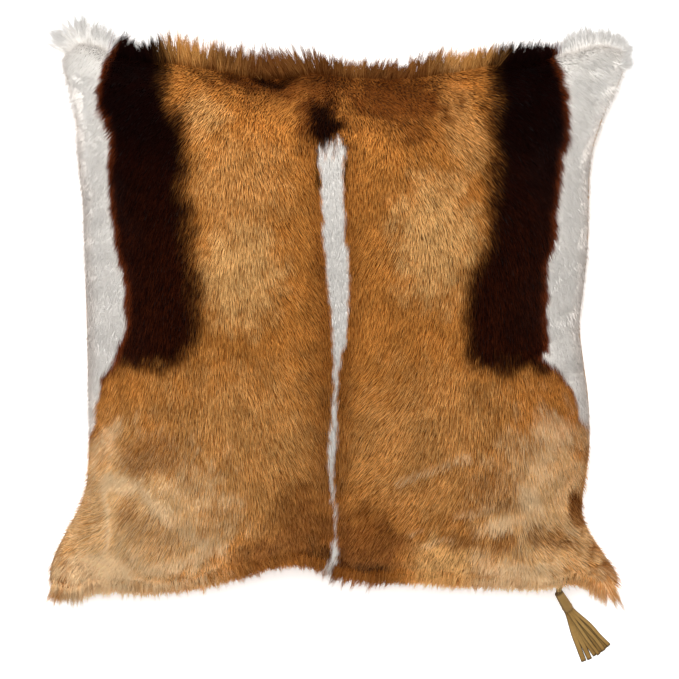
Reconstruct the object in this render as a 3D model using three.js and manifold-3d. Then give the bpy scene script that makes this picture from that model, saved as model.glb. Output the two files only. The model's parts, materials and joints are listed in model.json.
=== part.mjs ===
// A hide cushion lying on its back, with the hide facing up. Millimetres, +Z up.
// X runs across the face and Y up it. The origin is the middle of the flat patch that it rests on.
// The filled hide is one solid. The suede back, the two rows of rim fur, the thong and the tassel
// are pieces of their own, a small gap apart.

import * as THREE from 'three';
import { mergeVertices } from 'three/addons/utils/BufferGeometryUtils.js';
import Module from 'manifold-3d';

const wasm = await Module();
wasm.setup();

// Driving dimensions
const GAP = 0.3; // between two pieces that touch
const SUEDE = 1.6; // thickness of the suede back
const SEAM_AT_CORNER = 24; // height of the seam over the floor
const SEAM_AT_MIDDLE = 44;
const CROWN = 82; // from the seam up to the top of the face
const BELLY = 66; // depth of the underside before the floor flattens it
const BELLY_SPREAD = 0.85; // under 1, the underside fills out sooner than the face
const ROUNDNESS = 2.4; // 2 is an ellipse from seam to seam, and more is fuller shoulders
const SEAM_DROOP = 2.2; // how late the seam falls towards its corners
const TROUGH_FADE = 3; // a trough has its whole depth once the face is a third full
const CELLS = 32; // cells along each side of the face
const CROWDING = 0.6; // how far the cells crowd towards the seam, 0 to 1

const FRINGE_OUT = 2.4; // from the seam to the fur's backing strip
const FRINGE_STRIP = { depth: 2.2, height: 2.6 };
const LOCK = { width: 2.6, height: 2.4, root: 1.0 };
const LOCK_RISE = { middle: 8, spread: 5 }; // degrees over level
const LOCK_TURN = 3; // degrees to either side of its neighbours
const LOCK_SHARE = { middle: 0.94, spread: 0.1 }; // of the length that the table gives
const TOP_LOCK_PITCH = 2.5;
const FOOT_LOCK_PITCH = 4.6;

const HEAD = { topWidth: 7.3, footWidth: 8.6, topHeight: 5.0, footHeight: 5.6, sides: 12 };
const STRIP = { width: 3.1, thickness: 1.5, layerGap: 0.5, steps: 7 };
const STRIP_HOLD = 3; // how far a strip reaches into the head, and on before it bends
const STRIP_LANDING = 0.42; // share of the way from the head to a strip's end where it lies down
const LAYER_RISE = { root: 1.6, mouth: 0.9 }; // of the upper layer over the lower at the head
const THONG = { width: 2.6, thickness: 1.3, steps: 4, slack: 0.4 };
const THONG_ROOT = new THREE.Vector3(174.6, -207.9, 28.4); // under the lower seam

const SAME_POINT = 1e-4; // points this near each other are one
const LEVEL = 1e-6; // a height this near the floor is on it

// Rows of numbers with named columns, as objects.
function table(columns, rows) {
  return rows.map((row) => Object.fromEntries(columns.map((name, i) => [name, row[i]])));
}

// The seam's outline, seen from above. Each edge runs from its left or lower corner.
const TOP_EDGE = table(['x', 'y'], [
  [-213, 220], [-189, 217], [-172, 209], [-151, 204], [-114, 200], [-77, 194], [-54, 189], [-17, 195],
  [13, 191], [53, 190], [80, 194], [120, 200], [165, 206], [190, 214], [210, 217], [224, 213],
]);
const FOOT_EDGE = table(['x', 'y'], [
  [-223, -214], [-205, -213], [-187, -210], [-157, -212], [-124, -210], [-102, -206], [-77, -199],
  [-44, -190], [-22, -189], [-3, -196], [18, -203], [50, -202], [80, -205], [136, -208], [164, -209],
  [183, -205], [199, -209], [219, -213],
]);
const LEFT_EDGE = table(['x', 'y'], [
  [-223, -214], [-225, -197], [-215, -173], [-203, -151], [-196, -134], [-194, -108], [-193, -85],
  [-194, -63], [-195, -24], [-196, 16], [-197, 55], [-199, 100], [-202, 122], [-203, 154],
  [-207, 176], [-213, 197], [-213, 220],
]);
const RIGHT_EDGE = table(['x', 'y'], [
  [219, -213], [219, -203], [206, -183], [192, -161], [189, -151], [191, -133], [194, -118],
  [196, -90], [195, -63], [192, -41], [189, -20], [187, -2], [190, 19], [194, 52], [195, 90],
  [197, 130], [204, 153], [213, 175], [222, 193], [224, 213],
]);

// Soft troughs in the face, from one point to another, as deep at both ends as the fade allows.
const TROUGHS = table(['x1', 'y1', 'x2', 'y2', 'depth', 'width'], [
  [-3, 60, -3, -196, 5.5, 13], // the fold down the back
  [190, -150, 158, -138, 7, 9], // pucker above the lower right corner
  [187, -4, 165, -6, 5, 9], // nick half-way up the right side
  [-196, -112, -168, -120, 4, 10], // hollow above the lower left corner
  [-201, 112, -182, 104, 3, 8], // nick in the upper left side
  [-54, 189, -50, 168, 6, 12], // dips where the top seam draws in
  [13, 191, 14, 172, 4, 12],
  [-22, -189, -18, -172, 5, 13], // dip where the lower seam draws in
]);

// Fur that stands past the top seam: length and lean of its locks by the place along the seam.
const TOP_FUR = table(['x', 'length', 'lean'], [
  [-213, 15, -42], [-206, 16, -24], [-199, 15.5, -4], [-186, 13, 6], [-177, 6, 8], [-170, 19, 4],
  [-160, 15, -6], [-155, 9, -14], [-148, 15, -20], [-133, 24, -12], [-121, 23, -4], [-104, 20, -4],
  [-89, 16, -8], [-64, 20, -14], [-49, 21, -22], [-32, 14, -30], [-17, 13, -34], [-3, 11, -20],
  [13, 10, 4], [33, 12, 24], [53, 12, 32], [80, 15, 34], [105, 15, 36], [130, 17, 38], [144, 13, 40],
  [165, 9, 36], [178, 8, 16], [187, 12, 4], [198, 10.5, 4], [210, 10, 14], [219, 9, 24], [224, 9, 30],
]);
// Fur that hangs over the lower seam.
const FOOT_FUR = table(['x', 'length', 'lean'], [
  [-223, 5, -30], [-205, 5, -16], [-157, 6, -8], [-102, 6, 4], [-44, 7, 24], [-22, 9, 32],
  [-3, 14, 6], [18, 7, -26], [50, 6, -24], [136, 5, -12], [164, 4, 0], [183, 4, 0], [199, 4, 10],
  [219, 5, 20],
]);
const TOP_RIGHT_TURN = 3; // stations that the top fur goes on down the right side

// The tassel's line, from its head's top to its foot, and each strip's end with its layer.
const HEAD_TOP = new THREE.Vector3(173.5, -214.5, 22);
const HEAD_FOOT = new THREE.Vector3(181.7, -228, 7.6);
const STRIPS = table(['x', 'y', 'layer', 'bow'], [
  [192.6, -268.4, 0, -3.0], [196.9, -267.2, 0, -1.6], [203.6, -264.6, 0, 0.6], [208.4, -262.0, 0, 1.8],
  [200.2, -262.6, 1, -1.8], [206.2, -261.6, 1, 0.6], [211.2, -258.8, 1, 2.2], [214.8, -255.4, 1, 3.6],
]);

const COLOURS = {
  hide: { color: 0xb07b42, roughness: 0.7 },
  suede: { color: 0x9c7446, roughness: 0.95 },
  fur: { color: 0x7c5228, roughness: 0.75 },
  footFur: { color: 0xa87640, roughness: 0.75 },
  tassel: { color: 0x94703c, roughness: 0.9 },
};

const lerp = THREE.MathUtils.lerp;
const UP = new THREE.Vector3(0, 0, 1);

// A repeatable number from -1 to 1 for the nth thing.
function jitter(n) {
  const wave = Math.sin(n * 127.1 + 11.7) * 43758.5453;
  return 2 * (wave - Math.floor(wave)) - 1;
}

// A column's value at x, between the table's rows.
function between(rows, x, column) {
  const after = rows.findIndex((row) => row.x >= x);
  if (after === 0) return rows[0][column];
  if (after < 0) return rows.at(-1)[column];
  const [a, b] = [rows[after - 1], rows[after]];
  return lerp(a[column], b[column], (x - a.x) / (b.x - a.x));
}

function seamHeight(s) {
  return lerp(SEAM_AT_MIDDLE, SEAM_AT_CORNER, Math.abs(s) ** SEAM_DROOP);
}

// A seam edge as a function of s, from -1 to 1 along it. It keeps what it has worked out.
function seamEdge(rows) {
  const corners = rows.map(({ x, y }) => new THREE.Vector3(x, y, 0));
  const curve = new THREE.CatmullRomCurve3(corners, false, 'centripetal');
  const known = new Map();
  return (s) => {
    if (!known.has(s)) known.set(s, curve.getPointAt((s + 1) / 2).setZ(seamHeight(s)));
    return known.get(s).clone();
  };
}

const topEdge = seamEdge(TOP_EDGE);
const footEdge = seamEdge(FOOT_EDGE);
const leftEdge = seamEdge(LEFT_EDGE);
const rightEdge = seamEdge(RIGHT_EDGE);

// The sheet that spans the four seam edges, before the filling swells it.
function seamSheet(s, t) {
  const [a, b] = [(s + 1) / 2, (t + 1) / 2];
  const point = new THREE.Vector3();
  point.addScaledVector(footEdge(s), 1 - b).addScaledVector(topEdge(s), b);
  point.addScaledVector(leftEdge(t), 1 - a).addScaledVector(rightEdge(t), a);
  point.addScaledVector(footEdge(-1), -(1 - a) * (1 - b)).addScaledVector(footEdge(1), -a * (1 - b));
  point.addScaledVector(topEdge(-1), -(1 - a) * b).addScaledVector(topEdge(1), -a * b);
  return point.setZ(seamHeight(s * t));
}

// How full the cushion is at a place: 0 on the seam and 1 in the middle.
function fullness(s, t) {
  const across = 1 - Math.min(Math.abs(s), 1) ** ROUNDNESS;
  const along = 1 - Math.min(Math.abs(t), 1) ** ROUNDNESS;
  return Math.sqrt(across * along);
}

function troughDepth(x, y) {
  const place = new THREE.Vector3(x, y, 0);
  let depth = 0;
  for (const fold of TROUGHS) {
    const start = new THREE.Vector3(fold.x1, fold.y1, 0);
    const end = new THREE.Vector3(fold.x2, fold.y2, 0);
    const nearest = new THREE.Line3(start, end).closestPointToPoint(place, true, new THREE.Vector3());
    const away = nearest.distanceTo(place) / fold.width;
    depth += fold.depth * Math.exp(-away * away);
  }
  return depth;
}

function facePoint(s, t) {
  const point = seamSheet(s, t);
  const full = fullness(s, t);
  point.z += CROWN * full - troughDepth(point.x, point.y) * Math.min(1, TROUGH_FADE * full);
  return point;
}

const BODY_FLOOR = SUEDE + GAP; // the filled hide stands on the suede

function underPoint(s, t) {
  const point = seamSheet(s, t);
  point.z = Math.max(BODY_FLOOR, point.z - BELLY * fullness(s, t) ** BELLY_SPREAD);
  return point;
}

const STATIONS = Array.from({ length: CELLS + 1 }, (_, i) => {
  const even = (2 * i) / CELLS - 1;
  return lerp(even, Math.sin((Math.PI / 2) * even), CROWDING);
});

function gridOf(pointAt) {
  return STATIONS.flatMap((t) => STATIONS.map((s) => pointAt(s, t)));
}

// Two triangles for each cell, facing up, or down if turned.
function gridFaces(first, turned) {
  const faces = [];
  for (let row = 0; row < CELLS; row += 1) {
    for (let column = 0; column < CELLS; column += 1) {
      const a = first + row * (CELLS + 1) + column;
      const [b, c, d] = [a + 1, a + CELLS + 2, a + CELLS + 1];
      faces.push(...(turned ? [a, c, b, a, d, c] : [a, b, c, a, c, d]));
    }
  }
  return faces;
}

// The grid's rim as places in the grid, anticlockwise from the lower left corner.
function rimPlaces() {
  const side = CELLS + 1;
  const steps = Array.from({ length: CELLS }, (_, i) => i);
  return [
    ...steps.map((i) => i),
    ...steps.map((i) => i * side + CELLS),
    ...steps.map((i) => CELLS * side + CELLS - i),
    ...steps.map((i) => (CELLS - i) * side),
  ];
}

function geometryOf(points, faces) {
  const geometry = new THREE.BufferGeometry();
  geometry.setAttribute('position', new THREE.Float32BufferAttribute(points.flatMap((p) => p.toArray()), 3));
  geometry.setIndex(faces);
  return geometry;
}

// A closed geometry with its shared points merged.
function solidOf(points, faces) {
  return mergeVertices(geometryOf(points, faces), SAME_POINT);
}

function filledHide() {
  const face = gridOf(facePoint);
  const under = gridOf(underPoint);
  return solidOf([...face, ...under], [...gridFaces(0, false), ...gridFaces(face.length, true)]);
}

// Which way each point of the underside faces. Where it lies flat it faces straight down.
function undersideNormals(under) {
  const geometry = geometryOf(under, gridFaces(0, true));
  geometry.computeVertexNormals();
  const normals = geometry.getAttribute('normal');
  return under.map((point, i) => {
    const flat = point.z <= BODY_FLOOR + LEVEL;
    return flat ? UP.clone().negate() : new THREE.Vector3().fromBufferAttribute(normals, i);
  });
}

function suedeBack() {
  const under = gridOf(underPoint);
  const normals = undersideNormals(under);
  const inner = under.map((point, i) => point.clone().addScaledVector(normals[i], GAP));
  const outer = under.map((point, i) => point.clone().addScaledVector(normals[i], GAP + SUEDE));
  const faces = [...gridFaces(0, false), ...gridFaces(inner.length, true)];
  const rim = rimPlaces();
  rim.forEach((a, i) => {
    const b = rim[(i + 1) % rim.length];
    faces.push(a, inner.length + a, inner.length + b, a, inner.length + b, b);
  });
  return solidOf([...inner, ...outer], faces);
}

// A bar whose four-cornered section follows a row of places, each with its side and top vectors.
function barOf(places) {
  const points = [];
  const faces = [];
  for (const { at, side, top } of places) {
    for (const [across, up] of [[-1, -1], [1, -1], [1, 1], [-1, 1]]) {
      points.push(at.clone().addScaledVector(side, across).addScaledVector(top, up));
    }
  }
  for (let step = 0; step < places.length - 1; step += 1) {
    for (let corner = 0; corner < 4; corner += 1) {
      const a = step * 4 + corner;
      const b = step * 4 + ((corner + 1) % 4);
      faces.push(a, b + 4, b, a, a + 4, b + 4);
    }
  }
  const last = points.length - 4;
  faces.push(0, 1, 2, 0, 2, 3, last, last + 2, last + 1, last, last + 3, last + 2);
  return solidOf(points, faces);
}

// A strap of one width and thickness along a curve, lying flat and never below the floor.
function strap(curve, steps, width, thickness) {
  const places = curve.getSpacedPoints(steps).map((at, i) => {
    at.setZ(Math.max(at.z, thickness / 2));
    const ahead = curve.getTangentAt(i / steps);
    const side = ahead.clone().cross(UP).normalize();
    const top = side.clone().cross(ahead).normalize();
    return { at, side: side.multiplyScalar(width / 2), top: top.multiplyScalar(thickness / 2) };
  });
  return barOf(places);
}

function manifoldOf(geometry) {
  const vertProperties = new Float32Array(geometry.getAttribute('position').array);
  const triVerts = new Uint32Array(geometry.getIndex().array);
  return new wasm.Manifold(new wasm.Mesh({ numProp: 3, vertProperties, triVerts }));
}

// Several closed geometries as one.
function fused(geometries) {
  const joined = geometries.map(manifoldOf).reduce((whole, next) => whole.add(next));
  const mesh = joined.getMesh();
  const geometry = new THREE.BufferGeometry();
  geometry.setAttribute('position', new THREE.Float32BufferAttribute(mesh.vertProperties, mesh.numProp));
  geometry.setIndex(Array.from(mesh.triVerts));
  return geometry;
}

// A three-sided lock of fur that tapers to a point.
function lock(root, ahead, length) {
  const side = ahead.clone().cross(UP).normalize();
  const top = side.clone().cross(ahead).normalize();
  const base = [[-1, -0.5], [1, -0.5], [0, 1]].map(([across, up]) => root.clone()
    .addScaledVector(side, (across * LOCK.width) / 2)
    .addScaledVector(top, (up * LOCK.height) / 2));
  const tip = root.clone().addScaledVector(ahead, length + LOCK.root);
  return solidOf([...base, tip], [0, 1, 2, 1, 0, 3, 2, 1, 3, 0, 2, 3]);
}

// The line of a rim strip: seam points moved out level, with the way out at each.
function rimLine(seam) {
  return seam.map((point, i) => {
    const before = seam[Math.max(i - 1, 0)];
    const after = seam[Math.min(i + 1, seam.length - 1)];
    const out = after.clone().sub(before).cross(UP).setZ(0).normalize();
    const middle = FRINGE_OUT + FRINGE_STRIP.depth / 2;
    return { at: point.clone().addScaledVector(out, middle), out };
  });
}

// A strip along the seam with locks of fur standing out of it.
function rimFur(seam, fur, pitch) {
  const line = rimLine(seam);
  const strip = barOf(line.map(({ at, out }) => ({
    at,
    side: out.clone().multiplyScalar(FRINGE_STRIP.depth / 2),
    top: UP.clone().multiplyScalar(FRINGE_STRIP.height / 2),
  })));
  const route = new THREE.CurvePath();
  line.slice(1).forEach(({ at }, i) => route.add(new THREE.LineCurve3(line[i].at, at)));
  const count = Math.floor(route.getLength() / pitch);
  const locks = Array.from({ length: count }, (_, n) => {
    const share = (n + 0.5) / count;
    const at = route.getPointAt(share);
    const out = route.getTangentAt(share).cross(UP).setZ(0).normalize();
    const turn = -between(fur, at.x, 'lean') * Math.sign(out.y || 1) + LOCK_TURN * jitter(n);
    const rise = LOCK_RISE.middle + LOCK_RISE.spread * jitter(n + count);
    const ahead = out.applyAxisAngle(UP, THREE.MathUtils.degToRad(turn));
    ahead.z = Math.tan(THREE.MathUtils.degToRad(rise));
    const grown = LOCK_SHARE.middle + LOCK_SHARE.spread * jitter(n + 2 * count);
    return lock(at, ahead.normalize(), grown * between(fur, at.x, 'length'));
  });
  return fused([strip, ...locks]);
}

function topFur() {
  const along = STATIONS.map((s) => topEdge(s)).reverse();
  const turn = STATIONS.slice(-1 - TOP_RIGHT_TURN, -1).map((t) => rightEdge(t));
  return rimFur([...turn, ...along], TOP_FUR, TOP_LOCK_PITCH);
}

function footFur() {
  return rimFur(STATIONS.map((s) => footEdge(s)), FOOT_FUR, FOOT_LOCK_PITCH);
}

// The tassel's head, a rolled band that is a little wider at its foot.
function tasselHead() {
  const ahead = HEAD_FOOT.clone().sub(HEAD_TOP).normalize();
  const side = ahead.clone().cross(UP).normalize();
  const top = side.clone().cross(ahead).normalize();
  const ends = [
    { at: HEAD_TOP, width: HEAD.topWidth, height: HEAD.topHeight },
    { at: HEAD_FOOT, width: HEAD.footWidth, height: HEAD.footHeight },
  ];
  const points = ends.flatMap(({ at, width, height }) => Array.from({ length: HEAD.sides }, (_, i) => {
    const angle = (2 * Math.PI * i) / HEAD.sides;
    return at.clone()
      .addScaledVector(side, (Math.cos(angle) * width) / 2)
      .addScaledVector(top, (Math.sin(angle) * height) / 2);
  }));
  points.push(HEAD_TOP.clone(), HEAD_FOOT.clone());
  const faces = [];
  for (let i = 0; i < HEAD.sides; i += 1) {
    const [a, b] = [i, (i + 1) % HEAD.sides];
    const [c, d] = [a + HEAD.sides, b + HEAD.sides];
    faces.push(a, d, b, a, c, d, a, b, 2 * HEAD.sides, d, c, 2 * HEAD.sides + 1);
  }
  return solidOf(points, faces);
}

// One cut strip: out of the head, down to the floor and level along it.
function tasselStrip({ x, y, layer, bow }) {
  const rest = STRIP.thickness / 2 + layer * (STRIP.thickness + STRIP.layerGap);
  const end = new THREE.Vector3(x, y, rest);
  const ahead = HEAD_FOOT.clone().sub(HEAD_TOP).setZ(0).normalize();
  const side = UP.clone().cross(ahead);
  const root = HEAD_FOOT.clone().addScaledVector(side, bow).addScaledVector(ahead, -STRIP_HOLD);
  root.z += LAYER_RISE.root * layer;
  const mouth = HEAD_FOOT.clone().addScaledVector(side, bow).addScaledVector(ahead, STRIP_HOLD);
  mouth.z = lerp(rest, HEAD_FOOT.z, 0.5) + LAYER_RISE.mouth * layer;
  const landing = mouth.clone().lerp(end, STRIP_LANDING).addScaledVector(side, bow / 3).setZ(rest);
  const curve = new THREE.CatmullRomCurve3([root, mouth, landing, landing.clone().lerp(end, 0.5), end]);
  return strap(curve, STRIP.steps, STRIP.width, STRIP.thickness);
}

function tassel() {
  return fused([tasselHead(), ...STRIPS.map(tasselStrip)]);
}

// The thong that ties the tassel on, from under the lower seam to the top of the head.
function thong() {
  const ahead = HEAD_FOOT.clone().sub(HEAD_TOP).normalize();
  const end = HEAD_TOP.clone().addScaledVector(ahead, -GAP - THONG.thickness / 2);
  const middle = THONG_ROOT.clone().lerp(end, 0.5).add(new THREE.Vector3(0, -THONG.slack, THONG.slack));
  const curve = new THREE.CatmullRomCurve3([THONG_ROOT, middle, end]);
  return strap(curve, THONG.steps, THONG.width, THONG.thickness);
}

function piece(name, geometry, look) {
  const mesh = new THREE.Mesh(geometry, new THREE.MeshStandardMaterial({ ...look, metalness: 0 }));
  mesh.name = name;
  return mesh;
}

const cushion = new THREE.Group();
cushion.add(
  piece('filled_hide', filledHide(), COLOURS.hide),
  piece('suede_back', suedeBack(), COLOURS.suede),
  piece('top_fur', topFur(), COLOURS.fur),
  piece('foot_fur', footFur(), COLOURS.footFur),
  piece('thong', thong(), COLOURS.tassel),
  piece('tassel', tassel(), COLOURS.tassel),
);

export default cushion;
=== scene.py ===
"""A springbok hide cushion, filled and lying on its back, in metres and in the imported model's frame.

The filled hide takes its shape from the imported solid, and cloth under pressure gives it its puckers.
Hair made with Geometry Nodes covers its face. X runs across the face, Y up it and +Z out of it.
"""

from __future__ import annotations

import json
import logging
import math
from dataclasses import dataclass, field
from enum import Enum

import bmesh
import bpy
import numpy as np
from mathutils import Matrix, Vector, noise
from mathutils.kdtree import KDTree

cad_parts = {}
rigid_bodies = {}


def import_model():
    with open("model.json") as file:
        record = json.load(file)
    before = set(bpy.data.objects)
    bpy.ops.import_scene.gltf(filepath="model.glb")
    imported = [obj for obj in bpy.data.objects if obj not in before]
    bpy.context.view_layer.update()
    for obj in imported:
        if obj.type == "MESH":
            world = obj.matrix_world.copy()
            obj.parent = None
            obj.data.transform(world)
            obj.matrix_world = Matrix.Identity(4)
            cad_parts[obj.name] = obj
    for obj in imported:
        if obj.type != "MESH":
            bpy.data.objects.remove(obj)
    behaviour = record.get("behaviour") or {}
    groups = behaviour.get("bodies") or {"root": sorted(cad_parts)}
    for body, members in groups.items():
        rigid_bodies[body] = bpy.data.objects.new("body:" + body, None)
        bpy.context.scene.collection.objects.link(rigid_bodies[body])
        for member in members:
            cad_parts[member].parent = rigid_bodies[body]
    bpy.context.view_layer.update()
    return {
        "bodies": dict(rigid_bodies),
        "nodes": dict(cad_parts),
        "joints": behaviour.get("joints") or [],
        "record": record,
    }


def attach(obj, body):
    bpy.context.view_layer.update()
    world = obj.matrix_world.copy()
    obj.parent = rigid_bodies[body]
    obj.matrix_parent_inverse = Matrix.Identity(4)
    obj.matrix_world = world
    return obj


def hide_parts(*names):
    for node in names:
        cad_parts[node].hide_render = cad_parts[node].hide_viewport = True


log = logging.getLogger("hide cushion")

MM = 0.001
BODY = "root"
BAKE_MAP = "OFBake"
Array = np.ndarray
Colour = tuple[float, float, float]
Point = tuple[float, float]


def smooth(low: float, high: float, value: Array) -> Array:
    """A soft step from 0 at low to 1 at high.

    Args:
        low: The value where the step starts.
        high: The value where it ends, under low for a falling step.
        value: The numbers to put through the step.

    Returns:
        Numbers from 0 to 1.
    """
    share = np.clip((value - low) / (high - low), 0.0, 1.0)
    return share * share * (3.0 - 2.0 * share)


def unit(vectors: Array) -> Array:
    """Vectors scaled to a length of one.

    Args:
        vectors: Rows of three numbers.

    Returns:
        The same rows at length one.
    """
    return vectors / np.maximum(np.linalg.norm(vectors, axis=1, keepdims=True), 1e-9)


def wander(points: Array, scale: float, seed: float) -> Array:
    """Smooth noise at places on the plan.

    Args:
        points: Rows of x and y, in metres.
        scale: The size of one swell, in metres.
        seed: Which noise, as a height in the noise's own space.

    Returns:
        A number from about -1 to 1 for each row.
    """
    found = [noise.noise((x / scale, y / scale, seed)) for x, y in points[:, :2]]
    return 2.0 * np.array(found)


def coords(mesh: bpy.types.Mesh, name: str = "co") -> Array:
    """Vectors read from a mesh's vertices.

    Args:
        mesh: The mesh.
        name: Which vector of each vertex is read.

    Returns:
        Rows of three numbers.
    """
    found = np.empty(len(mesh.vertices) * 3, np.float32)
    mesh.vertices.foreach_get(name, found)
    return found.reshape(-1, 3).astype(float)


def set_coords(mesh: bpy.types.Mesh, points: Array) -> None:
    """Moves a mesh's vertices.

    Args:
        mesh: The mesh.
        points: The new places, a row for each vertex.
    """
    mesh.vertices.foreach_set("co", points.astype(np.float32).ravel())
    mesh.update()


def mark(mesh: bpy.types.Mesh, name: str, values: Array) -> None:
    """Stores numbers on a mesh's vertices.

    Args:
        mesh: The mesh.
        name: The attribute's name.
        values: One number or three for each vertex.
    """
    flat = values.ndim == 1
    layer = mesh.attributes.new(name, "FLOAT" if flat else "FLOAT_VECTOR", "POINT")
    layer.data.foreach_set("value" if flat else "vector", values.astype(np.float32).ravel())


def object_of(name: str, mesh: bpy.types.Mesh) -> bpy.types.Object:
    """Puts a mesh in the scene.

    Args:
        name: The object's name.
        mesh: Its mesh.

    Returns:
        The object, at the origin.
    """
    mesh.name = name
    made = bpy.data.objects.new(name, mesh)
    bpy.context.scene.collection.objects.link(made)
    return made


def mesh_of(name: str, points: Array, faces: list[tuple[int, ...]] | Array) -> bpy.types.Mesh:
    """A mesh from points and faces, shaded smooth.

    Args:
        name: The mesh's name.
        points: Rows of three numbers.
        faces: Rows of vertex numbers, in order round each face as seen from outside.

    Returns:
        The mesh.
    """
    mesh = bpy.data.meshes.new(name)
    mesh.from_pydata(points.tolist(), [], [tuple(map(int, face)) for face in faces])
    mesh.shade_smooth()
    return mesh


def settled(piece: bpy.types.Object) -> bpy.types.Object:
    """Applies a piece's modifiers to its mesh.

    Args:
        piece: The object with live modifiers.

    Returns:
        The same object, with a plain mesh.
    """
    graph = bpy.context.evaluated_depsgraph_get()
    made = bpy.data.meshes.new_from_object(piece.evaluated_get(graph))
    piece.modifiers.clear()
    piece.data = made
    made.name = piece.name
    return piece


class Canvas:
    """Adds nodes to a node tree and links them."""

    def __init__(self, tree: bpy.types.NodeTree) -> None:
        """Keeps the tree that the nodes go into."""
        self.tree = tree

    def add(self, kind: str, inputs: dict | None = None, **settings: object) -> bpy.types.Node:
        """Adds a node.

        Args:
            kind: Blender's name for the kind of node.
            inputs: Values or sockets for its inputs, by name or number.
            **settings: Properties of the node itself.

        Returns:
            The node.
        """
        node = self.tree.nodes.new(kind)
        for name, value in settings.items():
            setattr(node, name, value)
        for key, value in (inputs or {}).items():
            self.feed(node.inputs[key], value)
        return node

    def feed(self, socket: bpy.types.NodeSocket, value: object) -> None:
        """Links a socket to another, or sets its value.

        Args:
            socket: The input socket.
            value: An output socket, a number, a colour or a vector.
        """
        if isinstance(value, bpy.types.NodeSocket):
            self.tree.links.new(value, socket)
        elif isinstance(value, tuple) and socket.type == "RGBA":
            socket.default_value = (*value, 1.0)
        else:
            socket.default_value = value

    def math(self, operation: str, *values: object, clamp: bool = False) -> bpy.types.NodeSocket:
        """Adds a Math node and gives its result."""
        node = self.add("ShaderNodeMath", dict(enumerate(values)), operation=operation, use_clamp=clamp)
        return node.outputs[0]

    def vector(self, operation: str, *values: object) -> bpy.types.NodeSocket:
        """Adds a Vector Math node and gives its vector."""
        node = self.add("ShaderNodeVectorMath", operation=operation)
        for number, value in enumerate(values):
            self.feed(node.inputs["Scale" if operation == "SCALE" and number == 1 else number], value)
        return node.outputs[0]

    def mix(self, share: object, first: object, second: object, blend: str = "MIX") -> bpy.types.NodeSocket:
        """Mixes two colours and gives the result.

        Args:
            share: How much of the second colour shows.
            first: The colour under it.
            second: The colour on top.
            blend: How the two meet.

        Returns:
            The mixed colour's socket.
        """
        node = self.add("ShaderNodeMix", data_type="RGBA", blend_type=blend)
        self.feed(node.inputs[0], share)
        self.feed(node.inputs[6], first)
        self.feed(node.inputs[7], second)
        return node.outputs[2]

    def step(self, value: object, low: float, high: float) -> bpy.types.NodeSocket:
        """Adds a smooth Map Range from low to high and gives its result, from 0 to 1."""
        inputs = {0: value, 1: low, 2: high}
        return self.add("ShaderNodeMapRange", inputs, interpolation_type="SMOOTHSTEP").outputs[0]

    def place(self) -> bpy.types.NodeSocket:
        """Gives the place on the object, for a texture."""
        return self.add("ShaderNodeTexCoord").outputs["Object"]

    def noise(self, place: object, scale: float, detail: float = 2.0, rough: float = 0.5) -> bpy.types.Node:
        """Adds a Noise Texture and gives the node."""
        inputs = {"Vector": place, "Scale": scale, "Detail": detail, "Roughness": rough}
        return self.add("ShaderNodeTexNoise", inputs)

    def bump(self, skin: bpy.types.Node, strength: float, distance: float, height: object) -> None:
        """Roughens a material's surface by a height, with the distance in metres."""
        inputs = {"Strength": strength, "Distance": distance, "Height": height}
        self.feed(skin.inputs["Normal"], self.add("ShaderNodeBump", inputs).outputs[0])

    def attribute(self, name: str, output: str = "Vector") -> bpy.types.NodeSocket:
        """Reads a stored attribute in a material."""
        return self.add("ShaderNodeAttribute", attribute_name=name).outputs[output]

    def split(self, vector: bpy.types.NodeSocket) -> list[bpy.types.NodeSocket]:
        """Gives a vector's three numbers."""
        return list(self.add("ShaderNodeSeparateXYZ", {0: vector}).outputs)


def group_with(name: str, kind: str, takes: dict[str, str], gives: dict[str, str]) -> bpy.types.NodeTree:
    """Makes an empty node group with named sockets.

    Args:
        name: The group's name.
        kind: The kind of tree.
        takes: The inputs' names and kinds of socket.
        gives: The outputs' names and kinds of socket.

    Returns:
        The group.
    """
    tree = bpy.data.node_groups.new(name, kind)
    for side, sockets in (("INPUT", takes), ("OUTPUT", gives)):
        for label, socket in sockets.items():
            tree.interface.new_socket(name=label, in_out=side, socket_type=f"NodeSocket{socket}")
    return tree


@dataclass(frozen=True)
class Blot:
    """An oval marking with a soft, ragged edge, in millimetres on the face's plan."""

    EDGE = (1.45, 0.45)
    RAGGED = 0.22

    x: float
    y: float
    wide: float
    high: float
    turn: float = 0.0
    strength: float = 1.0

    def cover(self, x: Array, y: Array, ragged: Array) -> Array:
        """How much the marking covers at each place.

        Args:
            x: Places across the face, in millimetres.
            y: Places up the face, in millimetres.
            ragged: Noise that the edge follows, about -1 to 1.

        Returns:
            Cover from 0 to 1.
        """
        angle = math.radians(self.turn)
        across = (x - self.x) * math.cos(angle) + (y - self.y) * math.sin(angle)
        along = (y - self.y) * math.cos(angle) - (x - self.x) * math.sin(angle)
        away = np.hypot(across / self.wide, along / self.high) + self.RAGGED * ragged
        return self.strength * smooth(*self.EDGE, away)


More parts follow.
